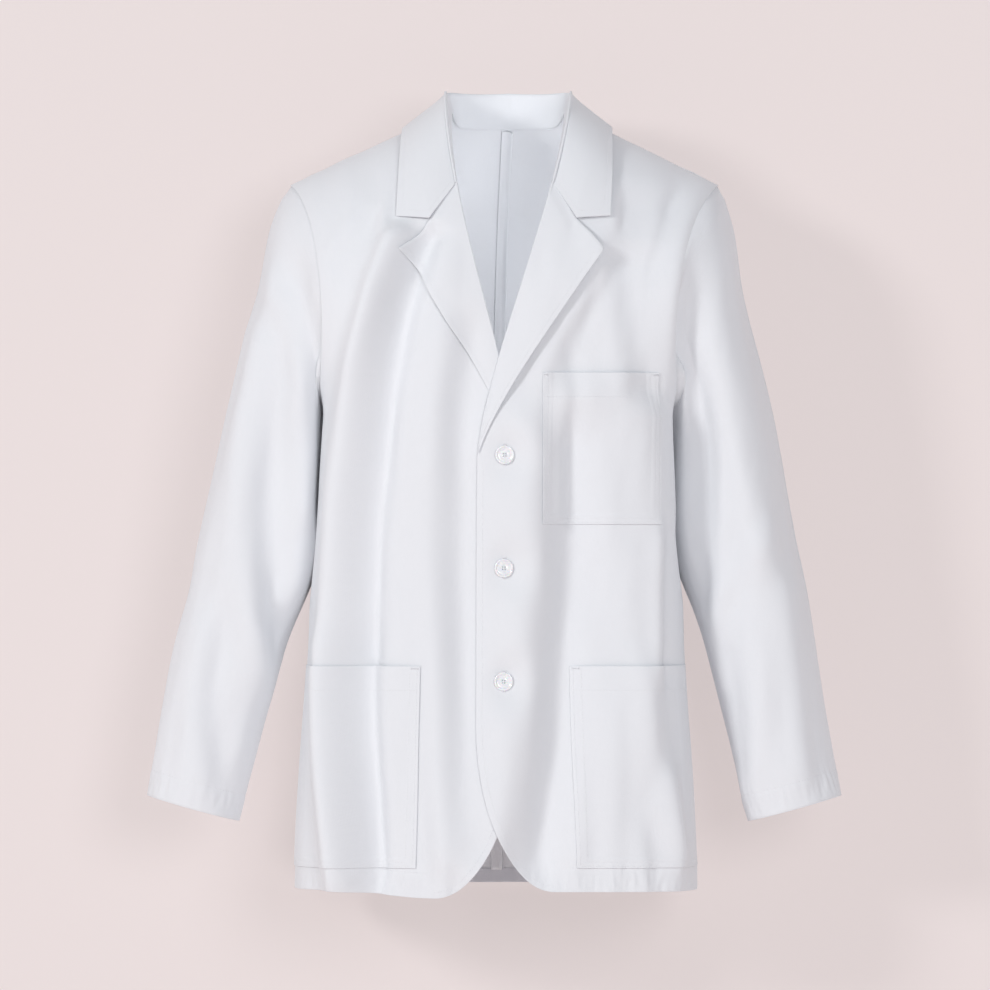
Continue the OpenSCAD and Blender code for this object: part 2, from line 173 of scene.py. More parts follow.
def body_point(face, x, z, lift):
    """Smooth body surface at pattern (x, z), raised by lift."""
    x, z, lift = np.broadcast_arrays(np.asarray(x, float), np.asarray(z, float),
                                     np.asarray(lift, float))
    out = np.abs(x)
    hand = np.where(x < 0, -1.0, 1.0)
    reach = np.minimum(1, out / body_half(z))
    height = np.clip((z - ROUNDING_Z) / np.maximum(ridge(out) - ROUNDING_Z, 1e-6), 0, 1)
    rise = np.where(z > ROUNDING_Z, height, 0)
    closing = np.sqrt(np.maximum(0, 1 - rise ** 2.2))
    section = np.maximum(0, 1 - reach ** 3.7) ** (1 / 3.7)
    face = np.asarray(face, float)
    y = face * (body_depth(face, z) + lift) * section * closing
    # the arm rests against the side
    dent = 16.5 * ease((532 - z) / 52.0) * ease((z - 285) / 90.0) * bell(y, 44.0)
    return np.stack([x + hand * (reach * lift - dent) + centre(z), y, z + rise * lift], -1)


# ---------------------------------------------------------------- pattern curves
# All (x, z) for one half of the coat.
FRONT_EDGE_X = -20.0       # front edge, past the centre line
BREAK_Z = 440.0            # where the lapel starts to turn over
CORNER_Z = 178.0           # height of the cut-away corner at the hem
CORNER_WIDTH = 80.0
ROLL = [[FRONT_EDGE_X, BREAK_Z], [-3, 560], [NECK_X, 700], [NECK_X, NECK_Z]]
GORGE_T = 0.745            # place on the roll line where lapel and collar meet
GORGE = cubic(ROLL, GORGE_T)
NOTCH = np.array([72, 676.5])
COLLAR_POINT = np.array([105, 679.0])
LAPEL_POINT = np.array([98, 645.0])
LAPEL_EDGE = [[FRONT_EDGE_X, BREAK_Z], [0, 505], LAPEL_POINT]
ARMHOLE = {
    FRONT: [[float(seam_half(ARM_Z)), ARM_Z], [168, 600], [188, 694], [SHOULDER_X, SHOULDER_Z]],
    BACK: [[float(seam_half(ARM_Z)), ARM_Z], [173, 600], [192, 694], [SHOULDER_X, SHOULDER_Z]],
}
BUTTON_X = 7.0
BUTTONS = [(BUTTON_X + float(centre(z)), z) for z in (442.0, 329.0, 216.0)]
LAP = 2.3                  # lift of the left front where it lies over the right


def overlap(hand, x):
    return LAP * ease((78 - x) / 56.0) if hand == LEFT else 0 * x


def hem_z(hand, x):
    return 6.0 + 0 * x if hand == LEFT else 7.5 * ease((x - 60) / 120.0)


def raise_hem(hand, x, z):
    return z + hem_z(hand, x) * np.clip(1 - z / 160, 0, None)


def front_edge(step):
    """step 0..1 runs round the hem corner, 1..2 up the straight edge to the break."""
    angle = np.clip(step, 0, 1) * math.pi / 2
    x = np.where(step <= 1, FRONT_EDGE_X + CORNER_WIDTH * (1 - np.sin(angle)), FRONT_EDGE_X)
    z = np.where(step <= 1, CORNER_Z * (1 - np.cos(angle)),
                 CORNER_Z + (BREAK_Z - CORNER_Z) * (step - 1))
    return x, z


def back_top(x):
    return np.where(x < NECK_X, NAPE_Z + (NECK_Z - NAPE_Z) * (x / NECK_X) ** 14, ridge(x))


# ---------------------------------------------------------------- folds
def curve_through(points):
    """Catmull-Rom curve through the points."""
    p = np.array(points, float)
    p = np.vstack([2*p[0]-p[1], p, 2*p[-1]-p[-2]])
    out = []
    for i in range(1, len(p) - 2):
        t = np.linspace(0, 1, 12, endpoint=(i == len(p) - 3))[:, None]
        a, b, c, d = p[i-1:i+3]
        out.append(0.5*((2*b) + (-a+c)*t + (2*a-5*b+4*c-d)*t*t + (-a+3*b-3*c+d)*t**3))
    return np.vstack(out)


def fold(across, along, points, width, height, kind, fade):
    """Relief of one fold whose line runs through points.

    slope: the surface falls away towards +across. ridge: a rounded crest.
    step: a step down towards +across that fills up slowly. step_back: the same towards -across.
    """
    line = curve_through(points)
    line_across, line_along = line[np.argsort(line[:, 1])].T
    offset = (across - np.interp(along, line_along, line_across)) / width
    height = (height * ease((along - line_along[0] + fade) / fade)
              * ease((line_along[-1] + fade - along) / fade))
    if kind == "ridge":
        return height * np.exp(-offset * offset)
    if kind == "slope":
        return -height * offset * np.exp(0.5 - 0.5 * offset * offset)
    if kind == "step_back":
        offset = -offset
    return -height * np.where(offset < 1, ease((offset + 1) / 2), bell(offset - 1, 3.2))


def all_folds(x, z, table):
    return sum(fold(x, z, *row) for row in table)


def relief(x, y, seed, size_x, size_y, height):
    """Smooth random relief from 26 waves; the sizes are typical lengths along x and y."""
    draw = np.random.default_rng(seed)
    out = np.zeros_like(np.asarray(x, float))
    for _ in range(26):
        rate_x, rate_y = draw.normal(0, 1 / size_x), draw.normal(0, 1 / size_y)
        out += np.sin(2 * math.pi * (rate_x * x + rate_y * y) + draw.uniform(0, 6.28))
    return height * out / math.sqrt(26 / 2)


# Origin of the random relief, which is measured rightward and downward from here.
RELIEF_X, RELIEF_TOP = -496.5, 897.0

# Fold rows: [(x, z) points of the fold line], width, height, kind, fade beyond the ends.
FRONT_FOLDS = [
    # wearer's right side
    ([(-82.5, 662), (-102.5, 607), (-117.5, 547), (-130.5, 467), (-140.5, 377),
      (-146.5, 277), (-146.5, 177), (-138.5, 17)], 15, 15.0, "slope", 60),
    ([(-38.5, 552), (-47.5, 467), (-48.5, 357), (-46.5, 257), (-40.5, 157), (-30.5, 57)],
     15, 6.6, "slope", 50),
    ([(-76.5, 597), (-84.5, 467), (-88.5, 337), (-91.5, 247)], 20, 1.4, "ridge", 60),
    ([(-151.5, 247), (-153.5, 157), (-144.5, 97), (-134.5, 37)], 14, 4.0, "slope", 40),
    ([(-166.5, 635), (-148.5, 657), (-121.5, 691)], 11, 1.4, "slope", 40),
    ([(-98.5, 635), (-112.5, 597), (-124.5, 547)], 12, 1.2, "slope", 40),
    # wearer's left side
    ([(53.5, 447), (52.5, 357), (49.5, 267), (42.5, 177), (29.5, 97), (16.5, 37)],
     30, 14.5, "slope", 70),
    ([(75.5, 257), (73.5, 157), (63.5, 47)], 14, -2.0, "slope", 50),
    ([(119.5, 689), (121.5, 647), (126.5, 607), (132.5, 557), (136.5, 513)],
     19, 8.6, "step", 34),
    ([(111.5, 633), (94.5, 597), (74.5, 557), (58.5, 525)], 15, 6.5, "step", 30),
    ([(171.5, 682), (165.5, 627), (169.5, 562)], 11, 1.8, "slope", 50),
    ([(167.5, 352), (165.5, 287), (166.5, 235)], 7, 3.6, "slope", 40),
    ([(159.5, 217), (165.5, 157), (179.5, 107), (193.5, 47)], 15, 5.0, "slope", 50),
    ([(179.5, 37), (158.5, 87), (171.5, 137)], 13, -1.8, "slope", 40),
    ([(73.5, 525), (72.5, 457), (72.5, 387)], 9, 2.4, "slope", 30),
    ([(107.5, 497), (117.5, 427), (123.5, 367)], 20, 1.4, "slope", 40),
    ([(11.5, 427), (9.5, 337), (7.5, 237), (3.5, 137)], 24, -1.4, "ridge", 60),
    ([(39.5, 477), (63.5, 547), (93.5, 597)], 12, 1.3, "slope", 34),
]
BACK_FOLDS = [
    ([(63.5, 647), (51.5, 497), (55.5, 337), (69.5, 177), (93.5, 7)], 24, 3.6, "slope", 60),
    ([(-66.5, 647), (-54.5, 497), (-56.5, 337), (-72.5, 177), (-100.5, 7)],
     24, -3.4, "slope", 60),
    ([(123.5, 567), (109.5, 477), (115.5, 337), (129.5, 197), (153.5, 7)],
     18, 3.0, "slope", 50),
    ([(-126.5, 567), (-112.5, 477), (-116.5, 337), (-130.5, 197), (-151.5, 7)],
     18, -2.8, "slope", 50),
    ([(3.5, 297), (7.5, 157), (15.5, 7)], 20, 3.2, "ridge", 90),
    ([(143.5, 637), (115.5, 567), (93.5, 537)], 14, 2.2, "slope", 40),
    ([(-144.5, 637), (-116.5, 567), (-94.5, 537)], 14, -2.2, "slope", 40),
]
# a level fold below the nape, so its points are (z, x)
NAPE_FOLD = ([(692, -56.5), (683, 3.5), (691, 63.5)], 9, 1.2, "ridge", 30)


def settle(height, x, z, face, top_z, top_loss):
    """Let the relief die away at the sides, the shoulders and the armhole seam."""
    seam_distance = np.full(x.shape, 1e9)
    for seam in cubic(ARMHOLE[face], np.linspace(0, 1, 60)):
        seam_distance = np.minimum(seam_distance, (np.abs(x) - seam[0]) ** 2 + (z - seam[1]) ** 2)
    edge = 1 - np.abs(x - centre(z)) / body_half(z)
    return (height * (0.35 + 0.65 * ease(edge / 0.12)) * (1 - top_loss * ease((z - top_z) / 60.0))
            * (0.08 + 0.92 * ease(np.sqrt(seam_distance) / 24.0)))


def front_relief(x, z):
    right, down = x - RELIEF_X, RELIEF_TOP - z
    height = all_folds(x, z, FRONT_FOLDS)
    height += ease((337 - z) / 330.0) * relief(right, down, 3, 95, 720, 1.5)
    height += relief(right, down, 11, 70, 300, 0.5) + relief(right, down, 12, 34, 70, 0.10)
    # short creases by the hem stitching
    height += 0.42 * bell(z - 17, 15.0) * relief(right, down, 21, 11, 60, 1.0)
    for button_x, button_z in BUTTONS:
        height *= 1 - np.exp(-(((x - button_x) / 22.0) ** 2 + ((z - button_z) / 26.0) ** 2))
    # held flat under the collar
    height *= 1 - 0.93 * ease((z - 655) / 24.0) * ease((124 - np.abs(x - centre(z))) / 16.0)
    return settle(height, x, z, FRONT, top_z=700, top_loss=0.75)


def back_relief(x, z):
    right, down = x - RELIEF_X, RELIEF_TOP - z
    height = all_folds(x, z, BACK_FOLDS) + fold(z, x, *NAPE_FOLD)
    height += ease((417 - z) / 400.0) * relief(right, down, 5, 90, 600, 1.7)
    height += relief(right, down, 15, 66, 260, 0.6) + relief(right, down, 16, 30, 60, 0.11)
    height += 0.45 * bell(z - 17, 15.0) * relief(right, down, 22, 11, 60, 1.0)
    height -= 0.7 * bell(x - centre(z), 1.6)      # groove of the centre seam
    return settle(height, x, z, BACK, top_z=690, top_loss=0.8)


def surface(face, x, z, lift):
    """The dressed surface: body surface plus folds."""
    point = body_point(face, x, z, lift)
    outward = body_point(face, x, z, np.asarray(lift, float) + 1.0) - point
    base = body_point(face, x, z, 0 * np.asarray(lift, float))
    base_x, base_z = base[..., 0], base[..., 2]
    is_front = np.asarray(face) * np.ones_like(base_x) < 0
    height = np.where(is_front, front_relief(base_x, base_z), back_relief(base_x, base_z))
    return point + outward * height[..., None]


# ---------------------------------------------------------------- materials
def add_node(tree, kind, inputs=None, **settings):
    """Add a shader node. Nodes and sockets in inputs are linked, anything else is a value."""
    node = tree.nodes.new("ShaderNode" + kind)
    for key, value in settings.items():
        setattr(node, key, value)
    for key, value in (inputs or {}).items():
        if isinstance(value, bpy.types.Node):
            value = value.outputs[0]
        if isinstance(value, bpy.types.NodeSocket):
            tree.links.new(value, node.inputs[key])
        else:
            node.inputs[key].default_value = value
    return node


def new_material(name):
    material = bpy.data.materials.new(name)
    material.use_nodes = True
    material.node_tree.nodes.clear()
    return material, partial(add_node, material.node_tree)


def fabric(name, colour, shade, translucent):
    """Twill with a fine weave, slubs and soft unevenness. The UV map is in millimetres."""
    material, add = new_material(name)
    uv = add("UVMap", uv_map="cloth")

    def threads(scale, angle):
        turned = add("Mapping", {"Rotation": (0, 0, math.radians(angle)), 0: uv})
        wave = add("TexWave", {"Scale": scale, "Distortion": 0.6, "Detail": 1.0,
                               "Detail Scale": 0.6, 0: turned},
                   wave_type="BANDS", bands_direction="X", wave_profile="SIN")
        return wave.outputs["Fac"]

    warp, weft = threads(0.36, 0), threads(0.36, 90)
    twill = threads(0.26, 63)
    crossing = add("Math", {0: warp, 1: weft}, operation="MULTIPLY")
    weave = add("Math", {0: crossing, 1: twill}, operation="ADD")
    slub = add("TexNoise", {"Scale": 0.9, "Detail": 3, 0: add("Mapping", {
        "Scale": (1.0, 0.12, 1), 0: uv})}).outputs["Fac"]
    relief_height = add("Math", {0: slub, 1: 0.9, 2: weave}, operation="MULTIPLY_ADD")
    soft = add("TexNoise", {"Scale": 0.045, "Detail": 4, "Roughness": 0.55, 0: uv})
    fine_bump = add("Bump", {"Strength": 0.20, "Distance": 0.00022, "Height": relief_height})
    bump = add("Bump", {"Strength": 0.35, "Distance": 0.0014, "Height": soft.outputs["Fac"],
                        "Normal": fine_bump})
    amount = add("MapRange", {"From Min": 0.25, "From Max": 0.75, "To Min": 0.80, "To Max": 1.0,
                              "Value": slub})
    tint = add("Mix", {"A": (*shade, 1), "B": (*colour, 1), "Factor": amount}, data_type="RGBA")
    cloth = add("BsdfPrincipled", {"Base Color": tint.outputs["Result"], "Roughness": 0.82,
                                   "Specular IOR Level": 0.25, "Sheen Weight": 0.22,
                                   "Sheen Roughness": 0.5, "Normal": bump})
    through = add("BsdfTranslucent", {0: (*colour, 1), "Normal": bump})
    add("OutputMaterial", {0: add("MixShader", {0: translucent, 1: cloth, 2: through})})
    return material


def thread_material():
    material, add = new_material("white_thread")
    place = add("TexCoord").outputs["Object"]
    twist = add("TexWave", {"Scale": 900, 0: place}).outputs["Fac"]
    bump = add("Bump", {"Strength": 0.4, "Distance": 0.0001, "Height": twist})
    thread = add("BsdfPrincipled", {"Base Color": (0.86, 0.87, 0.90, 1), "Roughness": 0.5,
                                    "Sheen Weight": 0.3, "Normal": bump})
    add("OutputMaterial", {0: thread})
    return material


def button_material():
    material, add = new_material("pearl_button")
    place = add("TexCoord").outputs["Object"]
    cloud = add("TexNoise", {"Scale": 220, "Detail": 3, "Distortion": 1.2, 0: place})
    tint = add("ValToRGB", {0: cloud.outputs["Fac"]})
    low, high = tint.color_ramp.elements
    low.position, low.color = 0.35, (0.80, 0.81, 0.84, 1)
    high.position, high.color = 0.65, (0.95, 0.95, 0.96, 1)
    pearl = add("BsdfPrincipled", {
        "Base Color": tint, "Roughness": 0.18, "Coat Weight": 0.5, "Coat Roughness": 0.08,
        "Subsurface Weight": 0.15, "Subsurface Scale": 0.003})
    add("OutputMaterial", {0: pearl})
    return material


CLOTH = fabric("white_twill", colour=(0.88, 0.90, 0.93), shade=(0.835, 0.857, 0.89),
               translucent=0.10)
# The inside pieces are the same twill, given a darker, bluer colour: painted shade for the inside
# of the coat.
SHADED_TWILL = fabric("white_twill_painted_shade", colour=(0.84, 0.855, 0.90), shade=(0.78, 0.795, 0.845),
                translucent=0.2)
THREAD = thread_material()
PEARL = button_material()


# ---------------------------------------------------------------- mesh building
def link_object(name, data):
    item = bpy.data.objects.new(name, data)
    bpy.context.scene.collection.objects.link(item)
    return item


def mesh(name, verts, faces, material, uv=None):
    """Smooth mesh object from millimetre points."""
    data = bpy.data.meshes.new(name)
    data.from_pydata((np.asarray(verts) / 1000.0).tolist(), [], faces)
    data.validate(clean_customdata=False)
    if uv is not None:
        layer = data.uv_layers.new(name="cloth")
        index = np.zeros(len(data.loops), np.int64)
        data.loops.foreach_get("vertex_index", index)
        layer.data.foreach_set("uv", np.asarray(uv, float)[index].astype(np.float32).ravel())
    data.materials.append(material)
    data.shade_smooth()
    return link_object(name, data)


def sheet(name, outer, inner, uv, material, flip=False, wrap=False, sharp=False):
    """Closed cloth sheet between two grids of points, with rounded edges.

    wrap joins the last column to the first. sharp gives the edges their own vertices."""
    rows, columns = outer.shape[:2]
    outer, inner = outer.reshape(-1, 3), inner.reshape(-1, 3)
    uv = np.stack(np.broadcast_arrays(*uv), -1).reshape(-1, 2)
    count = rows * columns
    verts, uvs = [outer, inner], [uv, uv]
    i = np.arange(rows - 1)[:, None] * columns
    j = np.arange(columns if wrap else columns - 1)[None, :]
    k = (j + 1) % columns
    quads = np.stack([i + j, i + k, i + columns + k, i + columns + j], -1).reshape(-1, 4)
    faces = [quads, quads[:, ::-1] + count]

    def bind(loop, inward):
        """Close the edge along loop; inward holds the neighbours one step in."""
        rim = sum(map(len, verts)) + np.arange(len(loop))
        near, far = loop, loop + count
        top, bottom = outer[loop], inner[loop]
        middle = (top + bottom) / 2
        out = unit(middle - (outer[inward] + inner[inward]) / 2)
        thickness = np.linalg.norm(top - bottom, axis=1, keepdims=True)
        verts.append(middle + out * thickness * 0.5)
        uvs.append(uv[loop])
        if sharp:
            verts.extend([top, bottom])
            uvs.extend([uv[loop], uv[loop]])
            near, far = rim + len(loop), rim + 2 * len(loop)
        after = np.roll(np.arange(len(loop)), -1)
        faces.append(np.stack([near[after], near, rim, rim[after]], -1))
        faces.append(np.stack([rim[after], rim, far, far[after]], -1))

    low = np.arange(columns)
    high = ((rows - 1) * columns + np.arange(columns))[::-1]
    if wrap:
        bind(low, low + columns)
        bind(high, high - columns)
    else:
        first = (np.arange(1, rows - 1) * columns)[::-1]
        last = np.arange(1, rows) * columns + columns - 1
        bind(np.concatenate([low, last, high[1:], first]),
             np.concatenate([low + columns, last - 1, high[1:] - columns, first + 1]))
    faces = np.vstack(faces)
    if flip:
        faces = faces[:, ::-1]
    return mesh(name, np.vstack(verts), faces.tolist(), material, np.vstack(uvs))


def ring_faces(start, rings, sides):
    """Quads joining consecutive closed rings of vertices."""
    return [[start + i*sides + j, start + i*sides + (j+1) % sides,
             start + (i+1)*sides + (j+1) % sides, start + (i+1)*sides + j]
            for i in range(rings - 1) for j in range(sides)]


def add_rod(verts, faces, rings):
    """Append a capped rod through the rings."""
    count, sides = rings.shape[:2]
    start = len(verts)
    last = start + (count - 1) * sides
    verts.extend(rings.reshape(-1, 3))
    faces.extend(ring_faces(start, count, sides))
    faces.append(list(range(start, start + sides))[::-1])
    faces.append(list(range(last, last + sides)))


def add_tube(verts, faces, points, radius, sides):
    points = np.array(points, float)
    tangent = unit(np.gradient(points, axis=0))
    across = unit(np.cross(tangent, [0.2, 1.0, 0.1]))
    other = np.cross(tangent, across)
    angle = (2 * math.pi * np.arange(sides) / sides)[:, None]
    add_rod(verts, faces, points[:, None] + radius * (
        across[:, None] * np.cos(angle) + other[:, None] * np.sin(angle)))


STITCH_PITCH, STITCH_LENGTH = 3.1, 2.3
FINE = {"width": 0.45, "height": 0.22}      # stitches of the lapels and collar


def stitches(name, runs, width=0.55, height=0.34):
    """Rows of single stitches; each run is (points, normals)."""
    verts, faces = [], []
    for points, outward in runs:
        along = path_length(points)
        if along[-1] < 2 * STITCH_PITCH:
            continue
        middle = np.arange(STITCH_PITCH / 2, along[-1] - STITCH_PITCH / 2, STITCH_PITCH)

        def at(where, values):
            return np.stack([np.interp(where, along, values[:, i]) for i in range(3)], -1)

        starts = at(middle - STITCH_LENGTH / 2, points)
        ends = at(middle + STITCH_LENGTH / 2, points)
        ups = unit(at(middle, outward))
        for start, end, up, across in zip(starts, ends, ups, np.cross(unit(ends - starts), ups)):
            o = len(verts)
            skew = 0.10 * (rng.random() - 0.5)
            verts.append(start - up * 0.05)
            for part in (0.3, 0.7):
                core = start + (end - start) * part + across * skew
                verts += [core + across * width / 2, core + up * height,
                          core - across * width / 2, core - up * 0.2]
            verts.append(end - up * 0.05)
            faces += [[o, o+2, o+1], [o, o+3, o+2], [o, o+4, o+3], [o, o+1, o+4]]
            faces += ring_faces(o + 1, 2, 4)
            faces += [[o+9, o+5, o+6], [o+9, o+6, o+7], [o+9, o+7, o+8], [o+9, o+8, o+5]]
    return mesh(name, np.array(verts), faces, THREAD)


def run_on(point_at, a, b, lift):
    """A stitch run along (a, b) on the surface point_at(a, b, lift)."""
    points = point_at(a, b, lift)
    return points, point_at(a, b, lift + 1.0) - points


def attach(item, body, slot, *replaced):
    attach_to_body(item, body)
    if replaced:
        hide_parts(*replaced)


def trim(name, face, x, z, outer, inner, flip, *replaced, uv=None, material=SHADED_TWILL):
    """A strip on the inside of the coat between two lifts."""
    piece = sheet(name, surface(face, x, z, outer), surface(face, x, z, inner), uv or (x, z),
                  material, flip=flip)
    attach(piece, "coat", "cloth_inside", *replaced)


# ---------------------------------------------------------------- panels
def panel_columns(count, extra):
    """0..1 across a panel, finer at the side seam, with extra columns near 0."""
    return np.unique(np.concatenate([quarter_sine(count) ** 0.92, extra]))


def panel(face, hand, x, z):
    lift = OUTER + (overlap(hand, x) if face == FRONT else 0 * x)
    label = "front" if face == FRONT else "back"
    piece = sheet(f"cloth_{label}_{SIDE[hand]}", surface(face, hand * x, z, lift),
                  surface(face, hand * x, z, lift - PLY), (x, z), CLOTH,
                  flip=(hand == (RIGHT if face == FRONT else LEFT)))
    attach(piece, "coat", "cloth", f"{label}_{SIDE[hand]}_panel")


def front_panel(hand):
    # from the hem to the armhole and the break
    step = np.concatenate([np.linspace(0, 1, 60), np.linspace(1, 2, 90)[1:]])
    edge_x, edge_z = front_edge(step)
    u = panel_columns(110, [0.004, 0.01, 0.02, 0.03])
    seam_z = ARM_Z * (step / 2.0) ** 1.15
    x = lerp(edge_x[:, None], seam_half(seam_z)[:, None], u)
    z = raise_hem(hand, x, lerp(edge_z[:, None], seam_z[:, None], u))
    x = lerp(edge_x[:, None], seam_half(z), u)
    # from there to the shoulder, between roll line and armhole
    f = quarter_sine(90)[1:]
    roll, arm = cubic(ROLL, f), cubic(ARMHOLE[FRONT], f)
    x_top = lerp(roll[:, None, 0], arm[:, None, 0], u)
    z_top = lerp(roll[:, None, 1], arm[:, None, 1], u)
    bulge = ridge(lerp(NECK_X, SHOULDER_X, u)) - lerp(NECK_Z, SHOULDER_Z, u)
    z_top = z_top + f[:, None] ** 3 * bulge[None, :]
    panel(FRONT, hand, np.vstack([x, x_top]), np.vstack([z, z_top]))


def back_panel(hand):
    f = np.concatenate([np.zeros(90), quarter_sine(90)[1:]])
    centre_z = np.concatenate([np.linspace(6, ARM_Z, 90), lerp(ARM_Z, NAPE_Z, f[90:])])
    arm = cubic(ARMHOLE[BACK], f)
    side_x = np.where(f > 0, arm[:, 0], seam_half(centre_z))
    side_z = np.where(f > 0, arm[:, 1], centre_z)
    u = panel_columns(100, [0.004, 0.009, 0.02])
    x = lerp(0.0, side_x[:, None], u)
    bulge = back_top(lerp(0.0, SHOULDER_X, u)) - lerp(NAPE_Z, SHOULDER_Z, u)
    z = lerp(centre_z[:, None], side_z[:, None], u) + f[:, None] ** 3 * bulge[None, :]
    panel(BACK, hand, x, z)


def facing(hand):
    inner_x = 75.0
    step = np.concatenate([np.linspace(0, 1, 40), np.linspace(1, 2, 60)[1:]])
    edge_x, edge_z = front_edge(step)
    u = np.unique(np.concatenate([np.linspace(0, 1, 30), [0.01, 0.99]]))
    x = lerp(edge_x[:, None], inner_x, u) + 0.8 * (1 - u)
    z = raise_hem(hand, x, edge_z[:, None] + 0 * u) + 0.6
    wobble = 0.5 * bell(x - inner_x, 6) * relief(x, z, 31 + hand, 40, 30, 1)
    lift = overlap(hand, x) - 0.55 - np.abs(wobble)
    trim("cloth_facing_" + SIDE[hand], FRONT, hand * x, z, lift + 0.5, lift, hand == RIGHT,
         f"front_{SIDE[hand]}_facing")


# ---------------------------------------------------------------- edge stitching
STITCH_INSET = 6.0         # topstitching inside the outer edges
POINT_GAP = 8.5            # the inset run stops this far from the point


def stitch_groove(distance, depth):
    return depth * bell(distance - STITCH_INSET, 0.9)


def inset_run(points, outward, start, columns, widths, rows):
    """Run parallel to the outer edge; the free part begins at column start."""
    run, run_normals = [], []
    for i in rows:
        place = np.interp(1 - STITCH_INSET / widths[i], columns, np.arange(len(columns)))
        k = start + int(place)
        part = place - int(place)
        run.append(points[i, k] * (1 - part) + points[i, k + 1] * part)
        run_normals.append(outward[i, k])
    run, run_normals = np.array(run), np.array(run_normals)
    keep = np.linalg.norm(run - points[-1, -1], axis=1) > POINT_GAP
    return run[keep], run_normals[keep]


# ---------------------------------------------------------------- lapels
LAPEL_START = {LEFT: (0.03, 0.03), RIGHT: (0.12, 0.22)}     # on the roll line, on the edge
NOTCH_W = 0.53             # the notch, as a part of the lapel's top edge


def lapel_xz(hand, v, w):
    """v 0 at the break, 1 at the gorge; w 0 at the roll line, 1 at the outer edge."""
    roll_start, edge_start = LAPEL_START[hand]
    roll = cubic(ROLL, lerp(roll_start, GORGE_T, v))
    edge = quadratic(LAPEL_EDGE, lerp(edge_start, 1.0, v))
    near_top = ease((v - 0.45) / 0.55)[..., None]
    part = w[..., None]
    top = np.where(part < NOTCH_W, lerp(GORGE, NOTCH, part / NOTCH_W),
                   lerp(NOTCH, LAPEL_POINT, (part - NOTCH_W) / (1 - NOTCH_W)))
    # the seam edge lies under the collar
    tuck = 2.4 * np.sqrt(np.clip(1 - w / NOTCH_W, 0, 1))
    top = top + np.stack([0.5 * tuck, tuck], -1)
    place = lerp(roll, edge, part) + near_top * (top - lerp(GORGE, LAPEL_POINT, part))
    return place[..., 0], place[..., 1]


def lapel(hand):
    name = SIDE[hand]
    v = np.linspace(0, 1, 110)
    turn = np.radians([-90, -68, -45, -22, 0, 22, 45, 66, 84])
    w = np.unique(np.concatenate([np.linspace(0, 1, 46),
                                  [0.53, 0.012, 0.03, 0.97, 0.985, 0.995]]))
    V, W = grid(v, w)
    x, z = lapel_xz(hand, V, W)
    roll_t = lerp(LAPEL_START[hand][0], GORGE_T, v)
    roll = cubic(ROLL, roll_t)
    tangent = unit(cubic(ROLL, roll_t + 0.01) - cubic(ROLL, roll_t - 0.01))

    def fullness(height):
        """The right lapel lies flat low down, where the left front covers it."""
        return ease((height - 505) / 60.0) if hand == RIGHT else 1 + 0 * height

    full = fullness(z)
    # the cloth turns over itself along the roll line
    radius = 1.7 * (0.35 + 0.65 * fullness(roll[:, 1])) * (0.55 + 0.45 * ease(v / 0.12))
    turns, radii = np.meshgrid(turn, radius)
    turn_x = roll[:, None, 0] - tangent[:, None, 1] * radii * np.cos(turns)
    turn_z = roll[:, None, 1] + tangent[:, None, 0] * radii * np.cos(turns)
    turn_lift = 0.25 + radii * (1 + np.sin(turns)) * 0.82
    # the free part
    roll_lift = 0.25 + 1.64 * radius[:, None]
    edge_lift = 1.9 if hand == LEFT else 1.95
    belly = 1.5 * np.sin(math.pi * W) * full * (0.4 + 0.6 * ease(V / 0.3))
    curl = 0.7 * ease((W - 0.8) / 0.2) * np.sin(V * 7.0 + hand) ** 2 * full
    held = 0.9 * ease((V - 0.80) / 0.2) * (1 - ease((W - 0.50) / 0.32))
    free = ease((V - 0.10) / 0.45) * (1 - held)
    stand_off = (5.6 if hand == LEFT else 2.2) * free * ease((W - 0.12) / 0.88)
    lift = lerp(roll_lift, edge_lift + 0.5 * full, ease(W / 0.9)) + belly + curl + stand_off
    lift = lift - 1.1 * ease((V - 0.93) / 0.05) * ease((0.60 - W) / 0.1)   # under the collar
    x, z = np.hstack([turn_x, x]), np.hstack([turn_z, z])
    lift = np.hstack([turn_lift, lift]) + overlap(hand, x)
    outer = surface(FRONT, hand * x, z, lift)
    outward = normals(outer)
    if outward[..., 1].mean() > 0:
        outward = -outward
    start = len(turn)
    widths = np.linalg.norm(outer[:, -1] - outer[:, start], axis=1)
    part = np.hstack([0 * turn_x, W])
    groove = -stitch_groove((1 - part) * widths[:, None], 0.16) * (part > 0.02)
    outer = outer + outward * groove[..., None]
    piece = sheet("cloth_lapel_" + name, outer, outer - outward * 0.8,
                  (x * 0.94 + z * 0.34, z * 0.94 - x * 0.34), CLOTH, flip=(hand == RIGHT))
    widths = np.linalg.norm(outer[:, -1] - outer[:, start], axis=1)
    run = inset_run(outer, outward, start, w, widths, np.where(widths > 16)[0])
    sewn = stitches("stitches_lapel_" + name, [run], **FINE)
    for item, slot in ((piece, "cloth"), (sewn, "thread")):
        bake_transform(item)
    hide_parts(name + "_lapel")


# ---------------------------------------------------------------- collar
# Angles run round the neck in degrees: 0 at the nape, 90 at the shoulder, 180 at the gorge.
COLLAR_X = 103.0           # outer edge of the collar on the shoulder
COLLAR_BACK_Z = 748        # outer edge at the centre back
COLLAR_NOTCH_W = 0.57      # the notch, as a part of the collar's end


